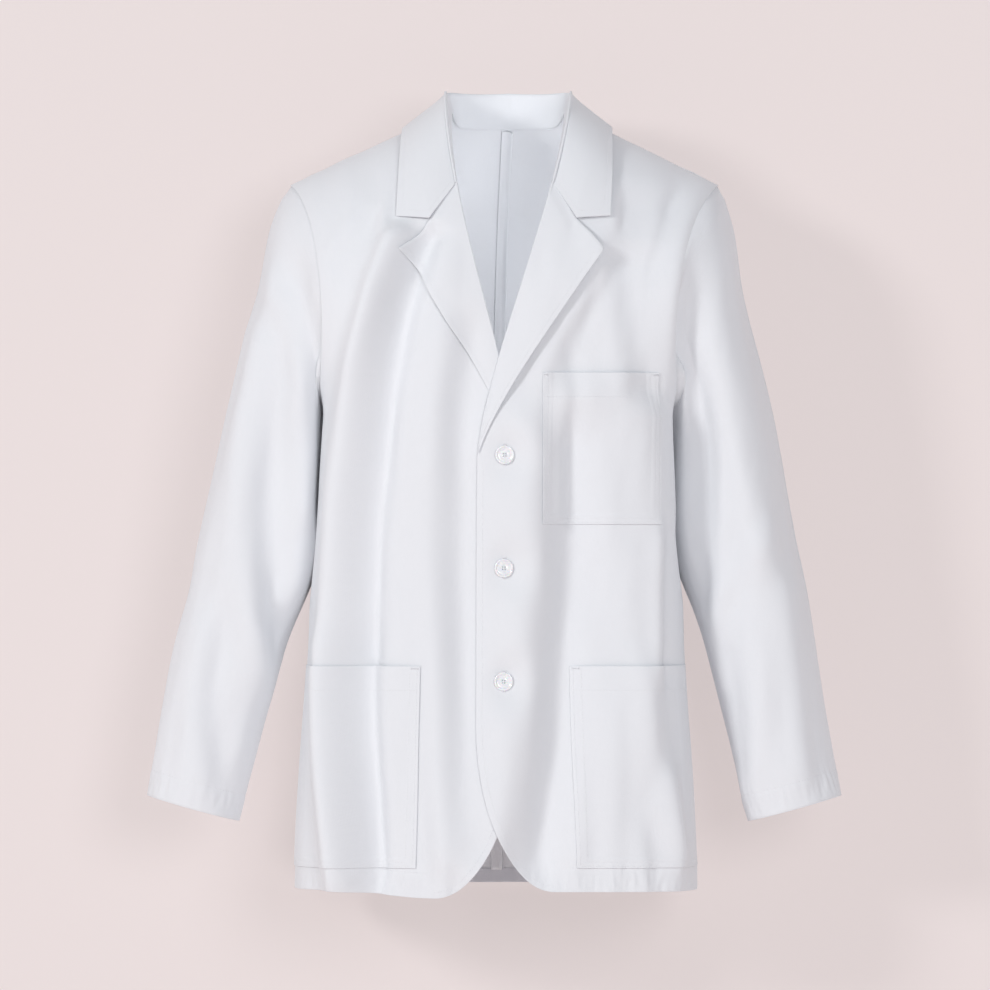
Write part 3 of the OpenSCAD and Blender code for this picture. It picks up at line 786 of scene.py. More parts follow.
def collar_roll(angle):
    """Roll line: face, x, z, lift and the direction (x, z) towards the neck opening."""
    r = np.radians(angle)
    to_gorge = np.clip((angle - 90) / 90, 0, 1)
    back_x = NECK_X * np.sin(r)
    back_z = np.minimum(ridge(back_x), 787 - 2 * np.sin(2 * r))
    front = cubic(ROLL, lerp(1.0, GORGE_T, to_gorge))
    back = angle <= 90
    x = np.where(back, back_x, front[..., 0])
    z = np.where(back, back_z, front[..., 1])
    lift = np.where(back, 23.0, 3 + 20 * (1 - to_gorge) ** 1.3) - 2.6 * bell(angle - 88, 17.0)
    in_x = np.where(back, -np.sin(r), -1.0)
    in_z = np.where(back, np.cos(r) + 0.483 * np.sin(r), 0.483 * (1 - to_gorge))
    return np.where(back, BACK, FRONT), x, z, lift, in_x, in_z


def collar_edge(angle):
    r = np.radians(np.minimum(angle, 90))
    to_gorge = np.clip((angle - 90) / 90, 0, 1)
    shoulder_z = float(ridge(COLLAR_X))
    back_x = COLLAR_X * np.sin(r)
    back_z = np.minimum(ridge(back_x), lerp(COLLAR_BACK_Z, shoulder_z, np.sin(r) ** 4))
    back = angle <= 90
    return (np.where(back, back_x, lerp(COLLAR_X, COLLAR_POINT[0], to_gorge)),
            np.where(back, back_z, lerp(shoulder_z, COLLAR_POINT[1], to_gorge)))


def collar_fall(hand, angle, w, lift, edge_lift, belly, ripple, tuck=0.0):
    """The turned-down part; w 0 at the roll line, 1 at the outer edge."""
    face, roll_x, roll_z, roll_lift, in_x, in_z = collar_roll(angle)
    near_end = ease((angle - 125) / 55.0)[..., None]
    part = w[..., None]
    end = np.where(part < COLLAR_NOTCH_W, lerp(GORGE, NOTCH, part / COLLAR_NOTCH_W),
                   lerp(NOTCH, COLLAR_POINT, (part - COLLAR_NOTCH_W) / (1 - COLLAR_NOTCH_W)))
    place = lerp(np.stack([roll_x, roll_z], -1), np.stack(collar_edge(angle), -1), part)
    place = place + near_end * (end - lerp(GORGE, COLLAR_POINT, part))
    shoulder = bell(angle - 88, 36.0)
    edge_lift = edge_lift + (2.6 if hand == LEFT else 0.8) * ease((angle - 62) / 45.0)
    height = lerp(roll_lift, edge_lift, w ** (0.8 - 0.24 * shoulder))
    height = height + (belly - 1.7 * shoulder) * np.sin(math.pi * w)
    height = height + ripple * np.sin(angle * 0.09 + 1.3 * hand) * ease(w * 2)
    return body_point(face, hand * (place[..., 0] - 1.1 * tuck * in_x),
                      place[..., 1] - 1.1 * tuck * in_z,
                      (height + lift) * (1 - 0.32 * ease((angle - 130) / 50.0)))


def stand_point(hand, angle, up, inward, top_lift):
    """The standing part; up 0 at the neck seam, 1 at the roll line."""
    face, roll_x, roll_z, roll_lift, in_x, in_z = collar_roll(angle)
    neck_x = NECK_X * np.sin(np.radians(np.minimum(angle, 90)))
    base_x = np.where(angle <= 90, neck_x, roll_x)
    base_z = np.where(angle <= 90, back_top(neck_x) + 0.2, roll_z)
    return body_point(face, hand * (lerp(base_x, roll_x, up) + inward * in_x),
                      lerp(base_z, roll_z, up) + inward * in_z,
                      lerp(-0.6, roll_lift + top_lift, up))


def collar_angles(count):
    return np.unique(np.concatenate([np.linspace(0, 86, count // 2), np.linspace(86, 94, 14),
                                     np.linspace(94, 180, count // 2)]))


def collar_half(hand):
    name = SIDE[hand]
    angles = collar_angles(120)
    w = np.unique(np.concatenate([np.linspace(0.0, 1, 44),
                                  [0.57, 0.006, 0.014, 0.03, 0.975, 0.988, 0.996]]))
    up = np.linspace(0, 1, 14)[:-1]
    turn = np.radians([0, 25, 50, 75, 100, 125, 150])
    # stand, turned over at the roll, then the fall, all one cloth
    stand = stand_point(hand, *grid(angles, up), inward=1.5, top_lift=0.4)
    A, turns = grid(angles, turn)
    face, x, z, lift, in_x, in_z = collar_roll(A)
    inward = 0.2 + 1.3 * np.cos(turns)
    roll = body_point(face, hand * (x + inward * in_x), z + inward * in_z,
                      lift + 0.4 + 1.5 * np.sin(turns))
    A, W = grid(angles, w)
    tuck = np.exp(-W / 0.02)
    fall = collar_fall(hand, A, W, 2.0 - 1.6 * tuck, edge_lift=2.7, belly=2.4, ripple=0.4,
                       tuck=tuck)
    outer = np.concatenate([stand, roll, fall], 1)
    outer[4:-4] = smooth_rows(outer, 1.6)[4:-4]
    outer[0, :, 0] = centre(outer[0, :, 2])
    outward = normals(outer)
    start = len(up) + len(turn)
    if outward[len(angles) // 4, start:, 2].mean() < 0:
        outward = -outward
    widths = np.linalg.norm(fall[:, -1] - fall[:, 0], axis=1)
    from_edge = np.hstack([np.full((len(angles), start), 99.0), (1 - W) * widths[:, None]])
    outer = outer - outward * stitch_groove(from_edge, 0.15)[..., None]
    uv = (angles[:, None] * 1.3, np.concatenate([up * 30 - 40, turn * 3 - 10, w * 60]))
    top = sheet("cloth_collar_" + name, outer, outer - outward * 0.75, uv, CLOTH,
                flip=(hand == RIGHT), sharp=True)
    A, W = grid(angles, np.linspace(0.03, 0.985, 24))
    below = partial(collar_fall, hand, A, W, edge_lift=2.6, belly=2.2, ripple=0.35)
    under = sheet("cloth_undercollar_" + name, below(lift=0.85), below(lift=0.1),
                  (A * 1.3, W * 60), SHADED_TWILL, flip=(hand == LEFT))
    # topstitching along the outer edge, then along the front end
    runs = [inset_run(outer, outward, start, w, widths, range(len(angles)))]
    column = outer[:, start + 30]
    row = np.argmin(np.abs(np.linalg.norm(column - column[-1], axis=1) - STITCH_INSET))
    stop = start + np.searchsorted(w, 1 - STITCH_INSET / widths[row])
    runs.append((outer[row, start + 4:stop], outward[row, start + 4:stop]))
    sewn = stitches("stitches_collar_" + name, runs, **FINE)
    if hand == LEFT:
        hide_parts("upper_collar")
        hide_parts("under_collar")
    # bake each piece's place into its mesh
    for item in (top, under, sewn):
        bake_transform(item)


def collar_stand(hand):
    A, W = grid(collar_angles(90), np.linspace(0, 1, 16))
    piece = sheet("cloth_collar_stand_" + SIDE[hand],
                  stand_point(hand, A, W, inward=-0.1, top_lift=0.6),
                  stand_point(hand, A, W, inward=0.45, top_lift=0.6),
                  (A * 1.1, W * 40), CLOTH, flip=(hand == RIGHT))
    attach(piece, "coat", "cloth")
    if hand == LEFT:
        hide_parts("collar_stand")


# ---------------------------------------------------------------- sleeves
# Ovals down the sleeve: centre x, centre z, half width, half depth, tilt in degrees, centre y
SLEEVE_OVALS = np.array([
    [230.5, 472, 46, 65, 20, 0],
    [237.5, 415, 49.5, 62, 14, -2],
    [246, 345, 57, 57, 13.5, -5],
    [259.5, 289, 57, 54, 13.5, -8],
    [281.5, 179, 51.5, 47, 14.5, -13],
    [301, 87, 48, 42, 15.5, -17]], float)
# Place of the armhole and of each oval in the row parameter
SLEEVE_STEPS = [0, 1, 1.5, 2.3, 2.95, 4.2, 5.2]

SLEEVE_FOLDS = {
    RIGHT: [
        ([(-208.5, 612), (-196.5, 562), (-185.5, 512), (-180.5, 457), (-181.5, 397)],
         12, 6.5, "slope", 44),
        ([(-224.5, 552), (-234.5, 497), (-239.5, 437), (-240.5, 367), (-234.5, 297),
          (-221.5, 232)], 16, 8.5, "slope", 60),
        ([(-290.5, 267), (-293.5, 197), (-286.5, 127)], 15, 5.0, "slope", 60),
        ([(-204.5, 477), (-199.5, 397), (-204.5, 317)], 12, 4.0, "ridge", 50),
        ([(-256.5, 457), (-274.5, 357), (-288.5, 257)], 20, 1.6, "ridge", 70),
        ([(-250.5, 267), (-256.5, 197), (-264.5, 127)], 15, 2.0, "ridge", 60),
        ([(-211.5, 657), (-220.5, 587), (-230.5, 527)], 16, 1.6, "ridge", 50),
        ([(-228.5, 247), (-234.5, 197), (-240.5, 147)], 12, 1.8, "slope", 40),
    ],
    LEFT: [
        ([(209.5, 682), (217.5, 607), (225.5, 527), (237.5, 457), (249.5, 397)],
         13, 4.4, "ridge", 60),
        ([(205.5, 552), (212.5, 497), (216.5, 427), (217.5, 337)], 12, 15.0, "step_back", 110),
        ([(243.5, 617), (255.5, 527), (266.5, 447), (279.5, 357)], 16, 5.6, "slope", 60),
        ([(215.5, 285), (241.5, 325), (265.5, 369), (277.5, 417)], 16, 3.0, "ridge", 44),
        ([(247.5, 337), (243.5, 267), (247.5, 197), (253.5, 137)], 14, -3.4, "slope", 50),
        ([(267.5, 337), (273.5, 257), (265.5, 177), (255.5, 117)], 15, 3.2, "ridge", 50),
        ([(299.5, 357), (306.5, 247), (316.5, 137)], 16, 3.8, "slope", 60),
        ([(219.5, 207), (235.5, 157), (245.5, 107)], 10, 1.6, "ridge", 40),
    ],
}
# The back of both sleeves: x is 0..1 round the back half
SLEEVE_BACK_FOLDS = [
    ([(0.30, 597), (0.42, 477), (0.34, 337)], 0.13, 2.6, "slope", 60),
    ([(0.62, 517), (0.52, 377), (0.60, 257)], 0.13, -2.8, "slope", 60),
    ([(0.35, 337), (0.5, 257), (0.42, 137)], 0.12, 2.6, "slope", 60),
    ([(0.70, 297), (0.62, 197), (0.68, 107)], 0.1, 1.8, "slope", 60),
]


def arm_loop(hand, angle, lift, tuck):
    """Ring along the armhole, tuck towards the centre line."""
    t = (1 + np.cos(angle)) / 2
    front = np.sin(angle) >= 0
    place = np.where(front[..., None], cubic(ARMHOLE[FRONT], t), cubic(ARMHOLE[BACK], t))
    x = place[..., 0] - tuck
    return body_point(np.where(front, FRONT, BACK), hand * x,
                      np.minimum(place[..., 1], ridge(x)), lift)


def sleeve_oval(hand, angle, oval):
    x, z, half_width, half_depth, tilt, y = oval
    tilt = math.radians(tilt)
    cos, sin = np.cos(angle), np.sin(angle)
    near = ease((524 - z) / 52.0) * ease((z - 275) / 90.0)
    close = (3.4 * bell(z - 410, 62.0) + 14.5 * near) * ease((-cos - 0.25) / 0.6)
    # squarer where it lies along the side
    power = 2 / (2 + (1.5 if hand == RIGHT else 0.1) * near * ease(-cos / 0.35))
    across = half_width * np.sign(cos) * np.abs(cos) ** power
    through = half_depth * np.sign(sin) * np.abs(sin) ** power
    sway = 5.0 * ease((310 - z) / 150.0) if hand == RIGHT else 0.0
    return np.stack([hand * (x + sway + across * math.cos(tilt) - close) + centre(z),
                     y - through, z + across * math.sin(tilt)], -1)


def sleeve_base(hand):
    """Rings from inside the armhole to the cuff, with their row parameters and angles."""
    angle = 2 * math.pi * (np.arange(150) + 0.5) / 150
    rows, steps = [], []
    for tuck in (5.0, 2.5, 0.8):
        rows.append(arm_loop(hand, angle, -1.2, tuck))
        steps.append(-tuck / 60)
    armhole = arm_loop(hand, angle, -0.7, -0.6)
    for step in np.linspace(0, 5.2, 170):
        if step <= 1:
            ring = lerp(armhole, sleeve_oval(hand, angle, SLEEVE_OVALS[0]), step)
        else:
            k = min(int(np.searchsorted(SLEEVE_STEPS, step, "right")) - 1, 5)
            part = (step - SLEEVE_STEPS[k]) / (SLEEVE_STEPS[k + 1] - SLEEVE_STEPS[k])
            ring = sleeve_oval(hand, angle, lerp(SLEEVE_OVALS[k - 1], SLEEVE_OVALS[k], part))
        rows.append(ring)
        steps.append(step)
    points, steps = np.array(rows), np.array(steps)
    blend = ease((steps[3:] - 0.02) / 0.5)[:, None, None]
    points[3:] = lerp(points[3:], smooth_rows(points[3:], 7.0, 2), blend)
    # round off the crown, where the front and back curves meet
    crown = ease((np.cos(angle) - 0.72) / 0.2)[None, :] * ease((steps - 0.03) / 0.12)[:, None]
    return lerp(points, smooth_around(points), crown[..., None]), steps, angle


def sleeve_normals(points, angle):
    outward = normals(points, wrap=True)
    if ((points - points.mean(1, keepdims=True)) * outward).sum(2).mean() < 0:
        outward = -outward
    crown = ease((np.cos(angle) - 0.6) / 0.2)[None, :, None]
    return unit(lerp(outward, unit(smooth_around(outward)), crown))


def sleeve_relief(hand, points, step, angle, from_cuff):
    """Relief of the sleeve; step and from_cuff are columns, angle is a row."""
    x, z = points[..., 0], points[..., 2]
    around, down = angle * 50 + 0 * x, RELIEF_TOP - z
    cos = np.cos(angle)
    front = ease((np.sin(angle) + 0.3) / 0.6)
    out = all_folds(x, z, SLEEVE_FOLDS[hand]) * front
    out = out + all_folds(angle / math.pi - 1 + 0 * x, z, SLEEVE_BACK_FOLDS) * (1 - front)
    out += relief(around, down, 41 + hand, 60, 260, 0.8) * ease(step / 0.6)
    out += relief(around, down, 43 + hand, 26, 60, 0.10)
    # fullness just outside the armhole seam
    out += 2.6 * bell(step - 0.16, 0.16) * (0.25 + 0.75 * ease((cos + 0.6) / 0.8))
    out *= ease((step + 0.03) / 0.10)
    # the outline stays where the pattern puts it
    out *= 1 - 0.55 * np.abs(cos) ** 6
    # the head of the sleeve stands off the shoulder
    outside = ease((cos - 0.1) / 0.8)
    head = 7.5 if hand == RIGHT else 5.0
    out += head * bell(step - 0.20, 0.20) * outside * ease(step / 0.06)
    if hand == LEFT:
        out += 4.8 * outside * bell(z - 477, 88.0)
    else:
        out += outside * (2.4 * bell(z - 572, 50.0) - 3.6 * bell(z - 299, 36.0))
    # the cuff hem: slightly thicker below the stitch line, and puckered
    out += 0.35 * ease((26 - from_cuff) / 1.5) - 0.35 * bell(from_cuff - 25, 1.6)
    pucker = relief(angle * 45 + 0 * x, down, 47 + hand, 10, 60, 0.30)
    return out + bell(from_cuff - 16, 14.0) * pucker


def sleeve(hand):
    name = SIDE[hand]
    body = name + "_sleeve"
    points, steps, angle = sleeve_base(hand)
    outward = sleeve_normals(points, angle)
    length = path_length(points[:, 0])
    from_cuff = length[-1] - length
    height = sleeve_relief(hand, points, steps[:, None], angle[None, :], from_cuff[:, None])

    def raised(lift):
        return points + outward * (height + lift)[..., None]

    outer = raised(PLY)
    around = angle[None, :] * 50
    flip = hand == RIGHT
    piece = sheet("cloth_sleeve_" + name, outer, raised(0.0), (around, length[:, None]), CLOTH,
                  flip=flip, wrap=True)
    k = from_cuff < 25.5
    hem = sheet("cloth_cuff_hem_" + name, raised(-0.12)[k], raised(-0.6)[k],
                (around, length[k, None]), SHADED_TWILL, flip=flip, wrap=True)
    row = int(np.argmin(np.abs(from_cuff - 24.5)))
    ring = [np.vstack([values[row], values[row][:1]]) for values in (outer, outward)]
    sewn = stitches("stitches_cuff_" + name, [ring])
    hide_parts(body)
    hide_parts(name + "_cuff_hem")
    # direction outward from the shoulder tip (metres)
    out = np.array([hand * 0.98, 0, -0.20])
    out /= np.linalg.norm(out)
    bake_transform(piece)
    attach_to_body(hem, body)
    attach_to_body(sewn, body)


# ---------------------------------------------------------------- pockets
CHEST_SIZE = (120, 151)    # width, height
LOWER_SIZE = (112, 201)
CHEST_CORNER = (43, 373)   # lower inner corner (x, z)
LOWER_Z = 30
TACK_LENGTH = 4.2


def pocket_rise(u, v, size, slack):
    """Lift of a patch pocket off the front: turned edges, slack in the mouth."""
    width, height = size
    edge = np.minimum(np.minimum(u, 1 - u) * width, v * height)
    turned = 0.28 * (1 - ease((edge - 8.5) / 2.5))
    bag = slack * np.sin(math.pi * u) ** 0.9 * ease(v * 1.15) ** 1.5 * (0.35 + 0.65 * v)
    return 0.45 + turned + bag - 0.13 * (bell(edge - 1.5, 0.8) + bell(edge - 5.6, 0.9))


def chest_point(u, v, lift):
    x = CHEST_CORNER[0] + CHEST_SIZE[0] * u
    z = CHEST_CORNER[1] + CHEST_SIZE[1] * v
    rise = pocket_rise(u, v, CHEST_SIZE, slack=2.4)
    return surface(FRONT, x, z, overlap(LEFT, x) + OUTER + rise + lift)


def lower_point(hand, u, v, lift):
    """The outer edge of a lower pocket ends in the side seam."""
    z = LOWER_Z + LOWER_SIZE[1] * v
    inner_x = lerp(81.0, 78.0, v) if hand == LEFT else lerp(80.0, 74.0, v)
    part = np.sin(u * math.pi / 2) ** 0.95
    x = lerp(inner_x, seam_half(z) - 0.015, part)
    rise = pocket_rise(part, v, LOWER_SIZE, slack=2.8)
    rise = np.where(part > 0.9, rise * (1 - 0.5 * ease((part - 0.9) / 0.1)), rise)
    return surface(FRONT, hand * x, z, overlap(hand, x) + OUTER + rise + lift)


def pocket(label, point_at, hand, size, outer_stitched):
    width, height = size
    flip = hand == RIGHT
    near = np.array([0.3, 1.0, 1.6, 2.2, 3.2, 5.0, 6.4, 7.0, 7.6, 8.6, 9.6, 10.6])
    u = np.unique(np.concatenate([np.linspace(0, 1, 90), near / width, 1 - near / width]))
    v = np.unique(np.concatenate([np.linspace(0, 1, 76), near / height,
                                  1 - np.array([0.3, 0.9]) / height]))
    V, U = grid(v, u)
    patch = sheet("cloth_" + label, point_at(U, V, PLY), point_at(U, V, 0.0),
                  (U * width, V * height), CLOTH, flip=flip)
    attach(patch, "coat", "cloth", label)
    # hem inside the mouth
    V, U = grid(np.linspace(1 - 25 / height, 1 - 0.2 / height, 12), np.linspace(0.01, 0.99, 60))
    hem = sheet(f"cloth_{label}_hem", point_at(U, V, -0.1), point_at(U, V, -0.65),
                (U * width, V * height), SHADED_TWILL, flip=flip)
    attach(hem, "coat", "cloth_inside", label + "_hem")
    # two rows round the edge, then the hem of the mouth
    runs = []
    count = 150
    top = 1 - 0.5 / height
    for inset in (1.5, 5.6):
        du, dv = inset / width, inset / height
        runs.append(run_on(point_at, np.full(count, du), np.linspace(top, dv, count), PLY))
        runs.append(run_on(point_at, np.linspace(du, 1 - du, count), np.full(count, dv), PLY))
        if outer_stitched:
            runs.append(run_on(point_at, np.full(count, 1 - du), np.linspace(dv, top, count),
                               PLY))
    runs.append(run_on(point_at, np.linspace(0.02, 0.98, count),
                       np.full(count, 1 - 24 / height), PLY))
    sewn = stitches("stitches_" + label, runs)
    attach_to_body(sewn, "coat")


def add_bartack(verts, faces, point_at, u, size):
    """Four short threads side by side in a corner of the pocket mouth."""
    width, height = size
    length = TACK_LENGTH / width * (1 if u < 0.5 else -1)
    for j in range(4):
        points, outward = run_on(point_at, np.linspace(u, u + length, 6),
                                 np.full(6, 0.998 - (1.2 + j * 0.42) / height), PLY + 0.05)
        up = unit(outward)
        across = np.cross(unit(np.gradient(points, axis=0)), up)
        add_rod(verts, faces, np.stack([points + across * 0.22, points + up * 0.3,
                                        points - across * 0.22, points - up * 0.15], 1))


def bartacks():
    verts, faces = [], []
    for point_at, u, pocket_size in ((chest_point, 0.005, CHEST_SIZE),
                                     (chest_point, 0.995, CHEST_SIZE),
                                     (partial(lower_point, LEFT), 0.005, LOWER_SIZE),
                                     (partial(lower_point, RIGHT), 0.005, LOWER_SIZE)):
        add_bartack(verts, faces, point_at, u, pocket_size)
    attach(mesh("thread_bartacks", verts, faces, THREAD), "coat", "thread", "pocket_bartacks")


# ---------------------------------------------------------------- inside trims
def centre_back_seam():
    z, x = grid(np.linspace(19, NAPE_Z - 0.5, 200),
                np.array([-5.2, -5.0, -4, -2, 0, 1.5, 3, 4.2, 5.0, 5.3]))
    curl = ease((x - 0.5) / 4.8) * (1.3 + 3.0 * bell(z - 640, 52.0) + 0.8 * np.sin(z / 29.0))
    wavy_x = x + 0.5 * np.sin(z / 41.0) * ease((x + 1) / 5.0)
    trim("cloth_centre_back_seam", BACK, wavy_x, z, -0.5 - curl, -1.5 - curl, True,
         "centre_back_seam", uv=(x, z), material=CLOTH)


def back_hem_band():
    z, angle = grid(np.array([6.2, 7, 10, 14, 18, 19.6, 20]),
                    np.radians(np.linspace(-90, 90, 220)))
    lift = OUTER - PLY - 0.7
    trim("cloth_back_hem_band", BACK, np.sin(angle) * (seam_half(z) - 1.0), z, lift + 0.6, lift,
         True, "back_hem_band")


def side_trims(hand):
    """Front hem band, side seam allowances and shoulder seam of one side."""
    name = SIDE[hand]
    z, x = grid(np.array([0.4, 1.2, 6, 12, 18, 19.5]),
                76.0 + (seam_half(10.0) - 78.0) * quarter_sine(60))
    lift = overlap(hand, x)
    trim("cloth_front_hem_band_" + name, FRONT, hand * x, z + hem_z(hand, x), lift, lift - 0.5,
         hand == RIGHT, f"front_{name}_hem_band")
    z, part = grid(np.linspace(20, 485, 90), np.array([0, 0.1, 0.5, 1.0]))
    x = seam_half(z) - 4.5 * (1 - part) - 0.2
    for face, label, replaced in ((FRONT, "front", [name + "_side_seam"]), (BACK, "back", [])):
        trim(f"cloth_{name}_side_seam_{label}", face, hand * x, z, -0.35,
             -0.95 - 0.5 * (1 - part), (hand == LEFT) == (face == BACK), *replaced, uv=(x, z))
    drop, x = grid(np.array([6.0, 5.6, 3.0, 0.6]), np.linspace(66, 200, 60))
    trim(f"cloth_{name}_shoulder_seam", BACK, hand * x, ridge(x) - drop, -0.4, -1.2,
         hand == LEFT, name + "_shoulder_seam", uv=(x, drop))


# ---------------------------------------------------------------- body topstitching
HEM_STITCH_Z = 25.0


def front_outside(hand, x, z, lift):
    return surface(FRONT, hand * x, z, overlap(hand, x) + OUTER + lift)


def back_outside(x, z, lift):
    return surface(BACK, x, z, OUTER + lift + 0 * x)


def body_stitches():
    runs = []
    hem_half = seam_half(HEM_STITCH_Z) - 1
    for hand in (LEFT, RIGHT):
        outside = partial(front_outside, hand)
        # inside the front edge, round the cut-away corner
        edge_x, edge_z = front_edge(np.linspace(0.0, 1.98, 400))
        along_x, along_z = np.gradient(edge_x), np.gradient(edge_z)
        length = np.hypot(along_x, along_z)
        x = edge_x + along_z / length * STITCH_INSET
        z = raise_hem(hand, x, edge_z - along_x / length * STITCH_INSET)
        runs.append(run_on(outside, x, np.maximum(z, 0.8), 0.0))
        # hem
        x = quarter_sine(260) * 130 + 68
        x = x[x < hem_half]
        runs.append(run_on(outside, x, HEM_STITCH_Z + hem_z(hand, x) * 0.84, 0.0))
    x = np.sin(np.linspace(-math.pi / 2, math.pi / 2, 500)) * hem_half
    runs.append(run_on(back_outside, x, np.full(500, HEM_STITCH_Z), 0.0))
    # both sides of the centre back seam
    for x in (5.0, -1.8):
        runs.append(run_on(back_outside, np.full(500, x), np.linspace(10, 766, 500), 0.0))
    sewn = stitches("stitches_body", runs)
    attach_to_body(sewn, "coat")


# ---------------------------------------------------------------- buttons
# Section of the button ring: radius, height
BUTTON_PROFILE = np.array([
    (2.4, 0.35), (6.9, 0.4), (7.9, 0.1), (8.6, 0.15), (9.2, 0.7), (9.5, 1.4), (9.42, 2.0),
    (9.15, 2.6), (8.75, 2.92), (8.3, 3.0), (7.85, 2.9), (7.45, 2.62), (7.1, 2.3), (6.6, 2.05),
    (5.9, 1.94), (4.5, 1.9), (3.4, 1.92), (3.05, 2.02), (2.8, 2.05), (2.4, 1.98)])
BUTTON_SIDES = 72
HOLE_OFFSET = 1.15         # thread holes from the button's centre, both ways
BUTTON_GAP = 0.35 + 1.3    # base of the button above the cloth


def button_y(z):
    return -(float(body_depth(FRONT, z)) + OUTER + LAP + BUTTON_GAP)


def button(name, x, z):
    """A lathed ring joined to a middle disc with four thread holes."""
    angle = 2 * math.pi * np.arange(BUTTON_SIDES) / BUTTON_SIDES
    radius, height = BUTTON_PROFILE[:, None, 0], BUTTON_PROFILE[:, None, 1]
    verts = np.stack([radius * np.cos(angle), radius * np.sin(angle), height + 0 * angle], -1)
    item = mesh("tmp_ring", verts.reshape(-1, 3),
                ring_faces(0, len(BUTTON_PROFILE), BUTTON_SIDES), PEARL)
    bpy.ops.mesh.primitive_cylinder_add(vertices=BUTTON_SIDES, radius=0.00242, depth=0.00163,
                                        location=(0, 0, 0.001165))
    disc = bpy.context.object
    disc.data.materials.append(PEARL)
    for hole_x in (-HOLE_OFFSET, HOLE_OFFSET):
        for hole_y in (-HOLE_OFFSET, HOLE_OFFSET):
            bpy.ops.mesh.primitive_cylinder_add(vertices=24, radius=0.00058, depth=0.006,
                                                location=(hole_x / 1000, hole_y / 1000, 0.001))
            cutter = bpy.context.object
            cut = disc.modifiers.new("h", "BOOLEAN")
            cut.operation = "DIFFERENCE"
            cut.object = cutter
            cut.solver = "EXACT"
            bpy.context.view_layer.objects.active = disc
            bpy.ops.object.modifier_apply(modifier="h")
            bpy.data.objects.remove(cutter)
    bpy.ops.object.select_all(action="DESELECT")
    item.select_set(True)
    disc.select_set(True)
    bpy.context.view_layer.objects.active = item
    bpy.ops.object.join()
    item = bpy.context.object
    item.name = name
    item.data.name = name
    # turn it to face the front and bake its place into the mesh
    item.rotation_euler = (math.radians(90), 0, 0)
    item.location = (x / 1000, button_y(z) / 1000, z / 1000)
    bpy.context.view_layer.update()
    item.data.transform(item.matrix_world)
    item.matrix_world.identity()
    item.location = (0, 0, 0)
    item.rotation_euler = (0, 0, 0)
    split = item.modifiers.new("e", "EDGE_SPLIT")
    split.split_angle = math.radians(35)
    bpy.context.view_layer.objects.active = item
    bpy.ops.object.modifier_apply(modifier="e")
    return item


def button_thread(name, x, z):
    """Two crossed bundles of three threads, and the wound shank below."""
    verts, faces = [], []
    y = button_y(z)

    def at(right, up, out):
        return np.array([x + right, y - out, z + up])

    for layer, slant in enumerate((1, -1)):
        for offset in (-0.22, 0.0, 0.22):
            points = []
            for t in np.linspace(-1, 1, 15):
                reach = HOLE_OFFSET * t
                out = 2.02 + 0.32 * (1 - abs(t) ** 3) + 0.16 * layer
                if abs(t) == 1:
                    out = 0.4      # the ends go down the holes
                points.append(at(reach - offset * slant * 0.7, reach * slant + offset * 0.7,
                                 out))
            add_tube(verts, faces, points, 0.17, 6)
    for k in range(5):
        points = [at(0.45 * math.cos(1.256 * k + t * 0.9), 0.45 * math.sin(1.256 * k + t * 0.9),
                     -3.3 + 3.7 * t) for t in np.linspace(0, 1, 8)]
        add_tube(verts, faces, points, 0.28, 6)
    return mesh(name, verts, faces, THREAD)


def buttonholes():
    """Worked edge round each upright slit."""
    verts, faces = [], []

    def add_thread(x_from, x_to, z, lifts):
        count = len(lifts)
        points = front_outside(LEFT, np.linspace(x_from, x_to, count), np.full(count, z),
                               np.array(lifts) + 0.02)
        add_tube(verts, faces, points, 0.2, 5)

    for _, z in BUTTONS:
        for sign in (-1, 1):
            for offset in np.arange(-9.9, 10.0, 0.42):
                add_thread(BUTTON_X + sign * 0.25, BUTTON_X + sign * 1.75, z + offset,
                           [0.0, 0.28, 0.34, 0.28, 0.0])
        for sign in (-1, 1):
            for j in range(3):
                add_thread(BUTTON_X - 1.9, BUTTON_X + 1.9, z + sign * (10.1 + 0.36 * j),
                           [0, .25, .34, .36, .34, .25, 0])
    attach(mesh("thread_buttonholes", verts, faces, THREAD), "coat", "thread",
           "buttonhole_stitching")


# ---------------------------------------------------------------- build
for build in (front_panel, back_panel, facing, lapel):
    for hand in (LEFT, RIGHT):
        build(hand)
for hand in (LEFT, RIGHT):
    collar_half(hand)
    collar_stand(hand)
for hand in (LEFT, RIGHT):
    sleeve(hand)
pocket("chest_pocket", chest_point, LEFT, CHEST_SIZE, outer_stitched=True)
for hand in (LEFT, RIGHT):
    pocket(SIDE[hand] + "_lower_pocket", partial(lower_point, hand), hand, LOWER_SIZE,
           outer_stitched=False)
centre_back_seam()
back_hem_band()
for hand in (LEFT, RIGHT):
    side_trims(hand)
body_stitches()
bartacks()
for key, (x, z) in zip(("top", "middle", "bottom"), BUTTONS):
    body = "button_" + key
    attach(button(body + "_pearl", x, z), body, "button", body)
    attach(button_thread(f"thread_{key}_cross", x, z), body, "thread", "thread_" + key)
buttonholes()


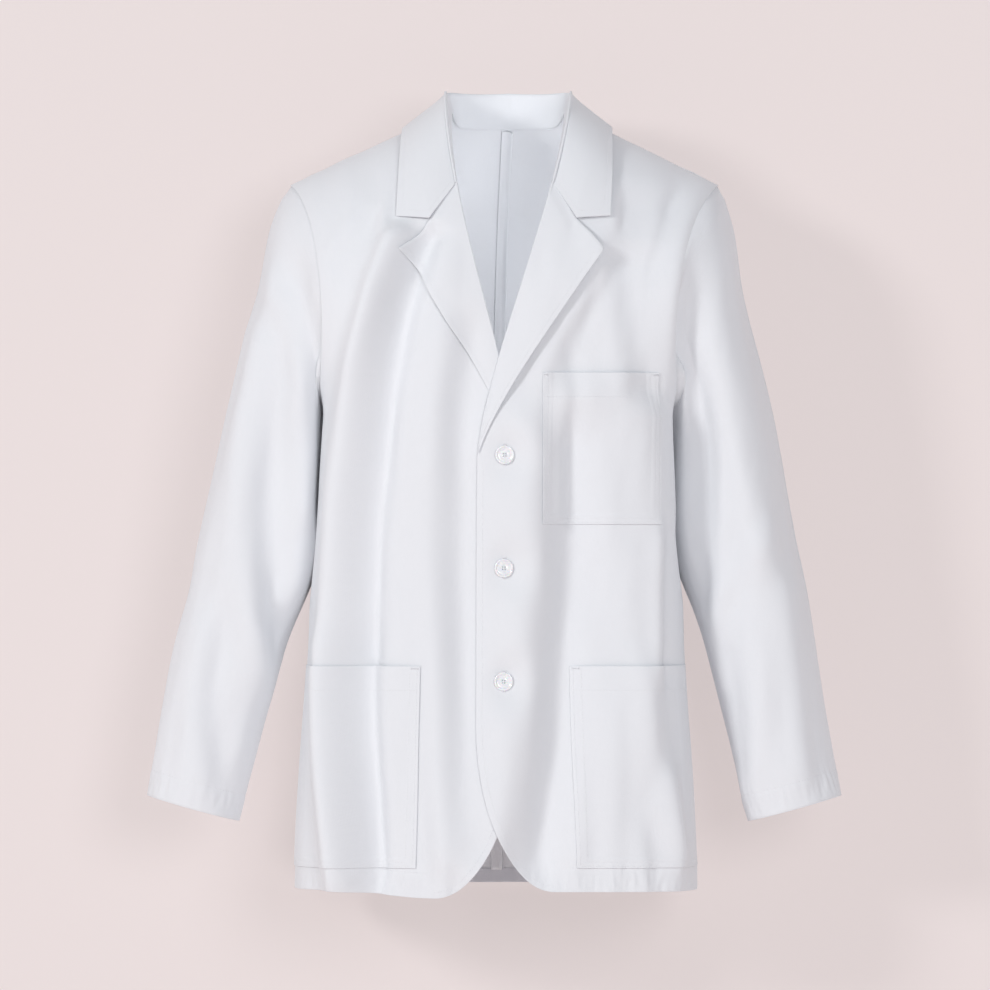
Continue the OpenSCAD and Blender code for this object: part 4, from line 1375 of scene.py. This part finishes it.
# ---------------------------------------------------------------- stage, in metres
def backdrop():
    """Floor that curves up into a wall close behind the coat, see-through from behind."""
    material, add = new_material("backdrop")
    geometry = add("NewGeometry")
    paint = add("BsdfDiffuse", {0: (0.36, 0.322, 0.319, 1)})
    glow = add("Emission", {0: (0.82, 0.745, 0.735, 1), 1: 0.56})
    lit = add("AddShader", {0: paint, 1: glow})
    add("OutputMaterial", {0: add("MixShader", {
        0: geometry.outputs["Backfacing"], 1: lit, 2: add("BsdfTransparent")})})
    wall_y, floor_z, radius = 0.138, -0.62, 0.40
    profile = [(-5.0, floor_z), (wall_y - radius, floor_z)]
    for angle in np.radians(np.linspace(0, 90, 48)[1:]):
        profile.append((wall_y - radius + radius * math.sin(angle),
                        floor_z + radius * (1 - math.cos(angle))))
    profile.append((wall_y, 4.0))
    verts = [(x, y, z) for y, z in profile for x in (-5, 5)]
    faces = [[2*i, 2*i+1, 2*i+3, 2*i+2] for i in range(len(profile) - 1)]
    data = bpy.data.meshes.new("floor")
    data.from_pydata(verts, [], faces)
    data.materials.append(material)
    data.shade_smooth()
    link_object("floor", data)


def area_light(name, place, target, size, energy, colour):
    data = bpy.data.lights.new(name, "AREA")
    data.shape = "DISK"
    data.size = size
    data.energy = energy
    data.color = colour
    item = link_object(name, data)
    item.location = place
    item.rotation_euler = (Vector(target) - Vector(place)).to_track_quat("-Z", "Y").to_euler()
    return item


backdrop()
area_light("key", place=(-5.2, -5.2, 2.7), target=(0, 0, 0.42), size=1.5, energy=216,
           colour=(1.0, 0.998, 0.99))
area_light("fill", place=(2.0, -6.3, 1.5), target=(0, 0, 0.45), size=2.6, energy=128,
           colour=(0.985, 0.99, 1.0))
# a small light inside the coat, aimed up at the back of the neck
neck_light = area_light("inner", place=(0.055, -0.078, 0.56), target=(0.03, 0.08, 0.77),
                        size=0.06, energy=0.215, colour=(0.98, 0.98, 1.0))
neck_light.visible_camera = False

world = bpy.data.worlds.new("studio")
bpy.context.scene.world = world
world.use_nodes = True
sky = world.node_tree.nodes["Background"]
sky.inputs["Color"].default_value = (0.90, 0.93, 1.0, 1)
sky.inputs["Strength"].default_value = 0.36

CAMERA_DISTANCE = 9.0
SUBJECT_OFFSET = 0.09      # the framed plane lies this far in front of y = 0
FRAME_WIDTH = 0.990        # width seen at that plane
camera_data = bpy.data.cameras.new("camera")
camera = link_object("camera", camera_data)
camera_data.sensor_width = 36.0
camera_data.lens = 36.0 * (CAMERA_DISTANCE - SUBJECT_OFFSET) / FRAME_WIDTH
camera.location = (-0.0015, -CAMERA_DISTANCE, 0.402)
camera.rotation_euler = (math.radians(90), 0, 0)
bpy.context.scene.camera = camera
bpy.context.scene.view_settings.view_transform = "Standard"
bpy.context.scene.view_settings.look = "None"
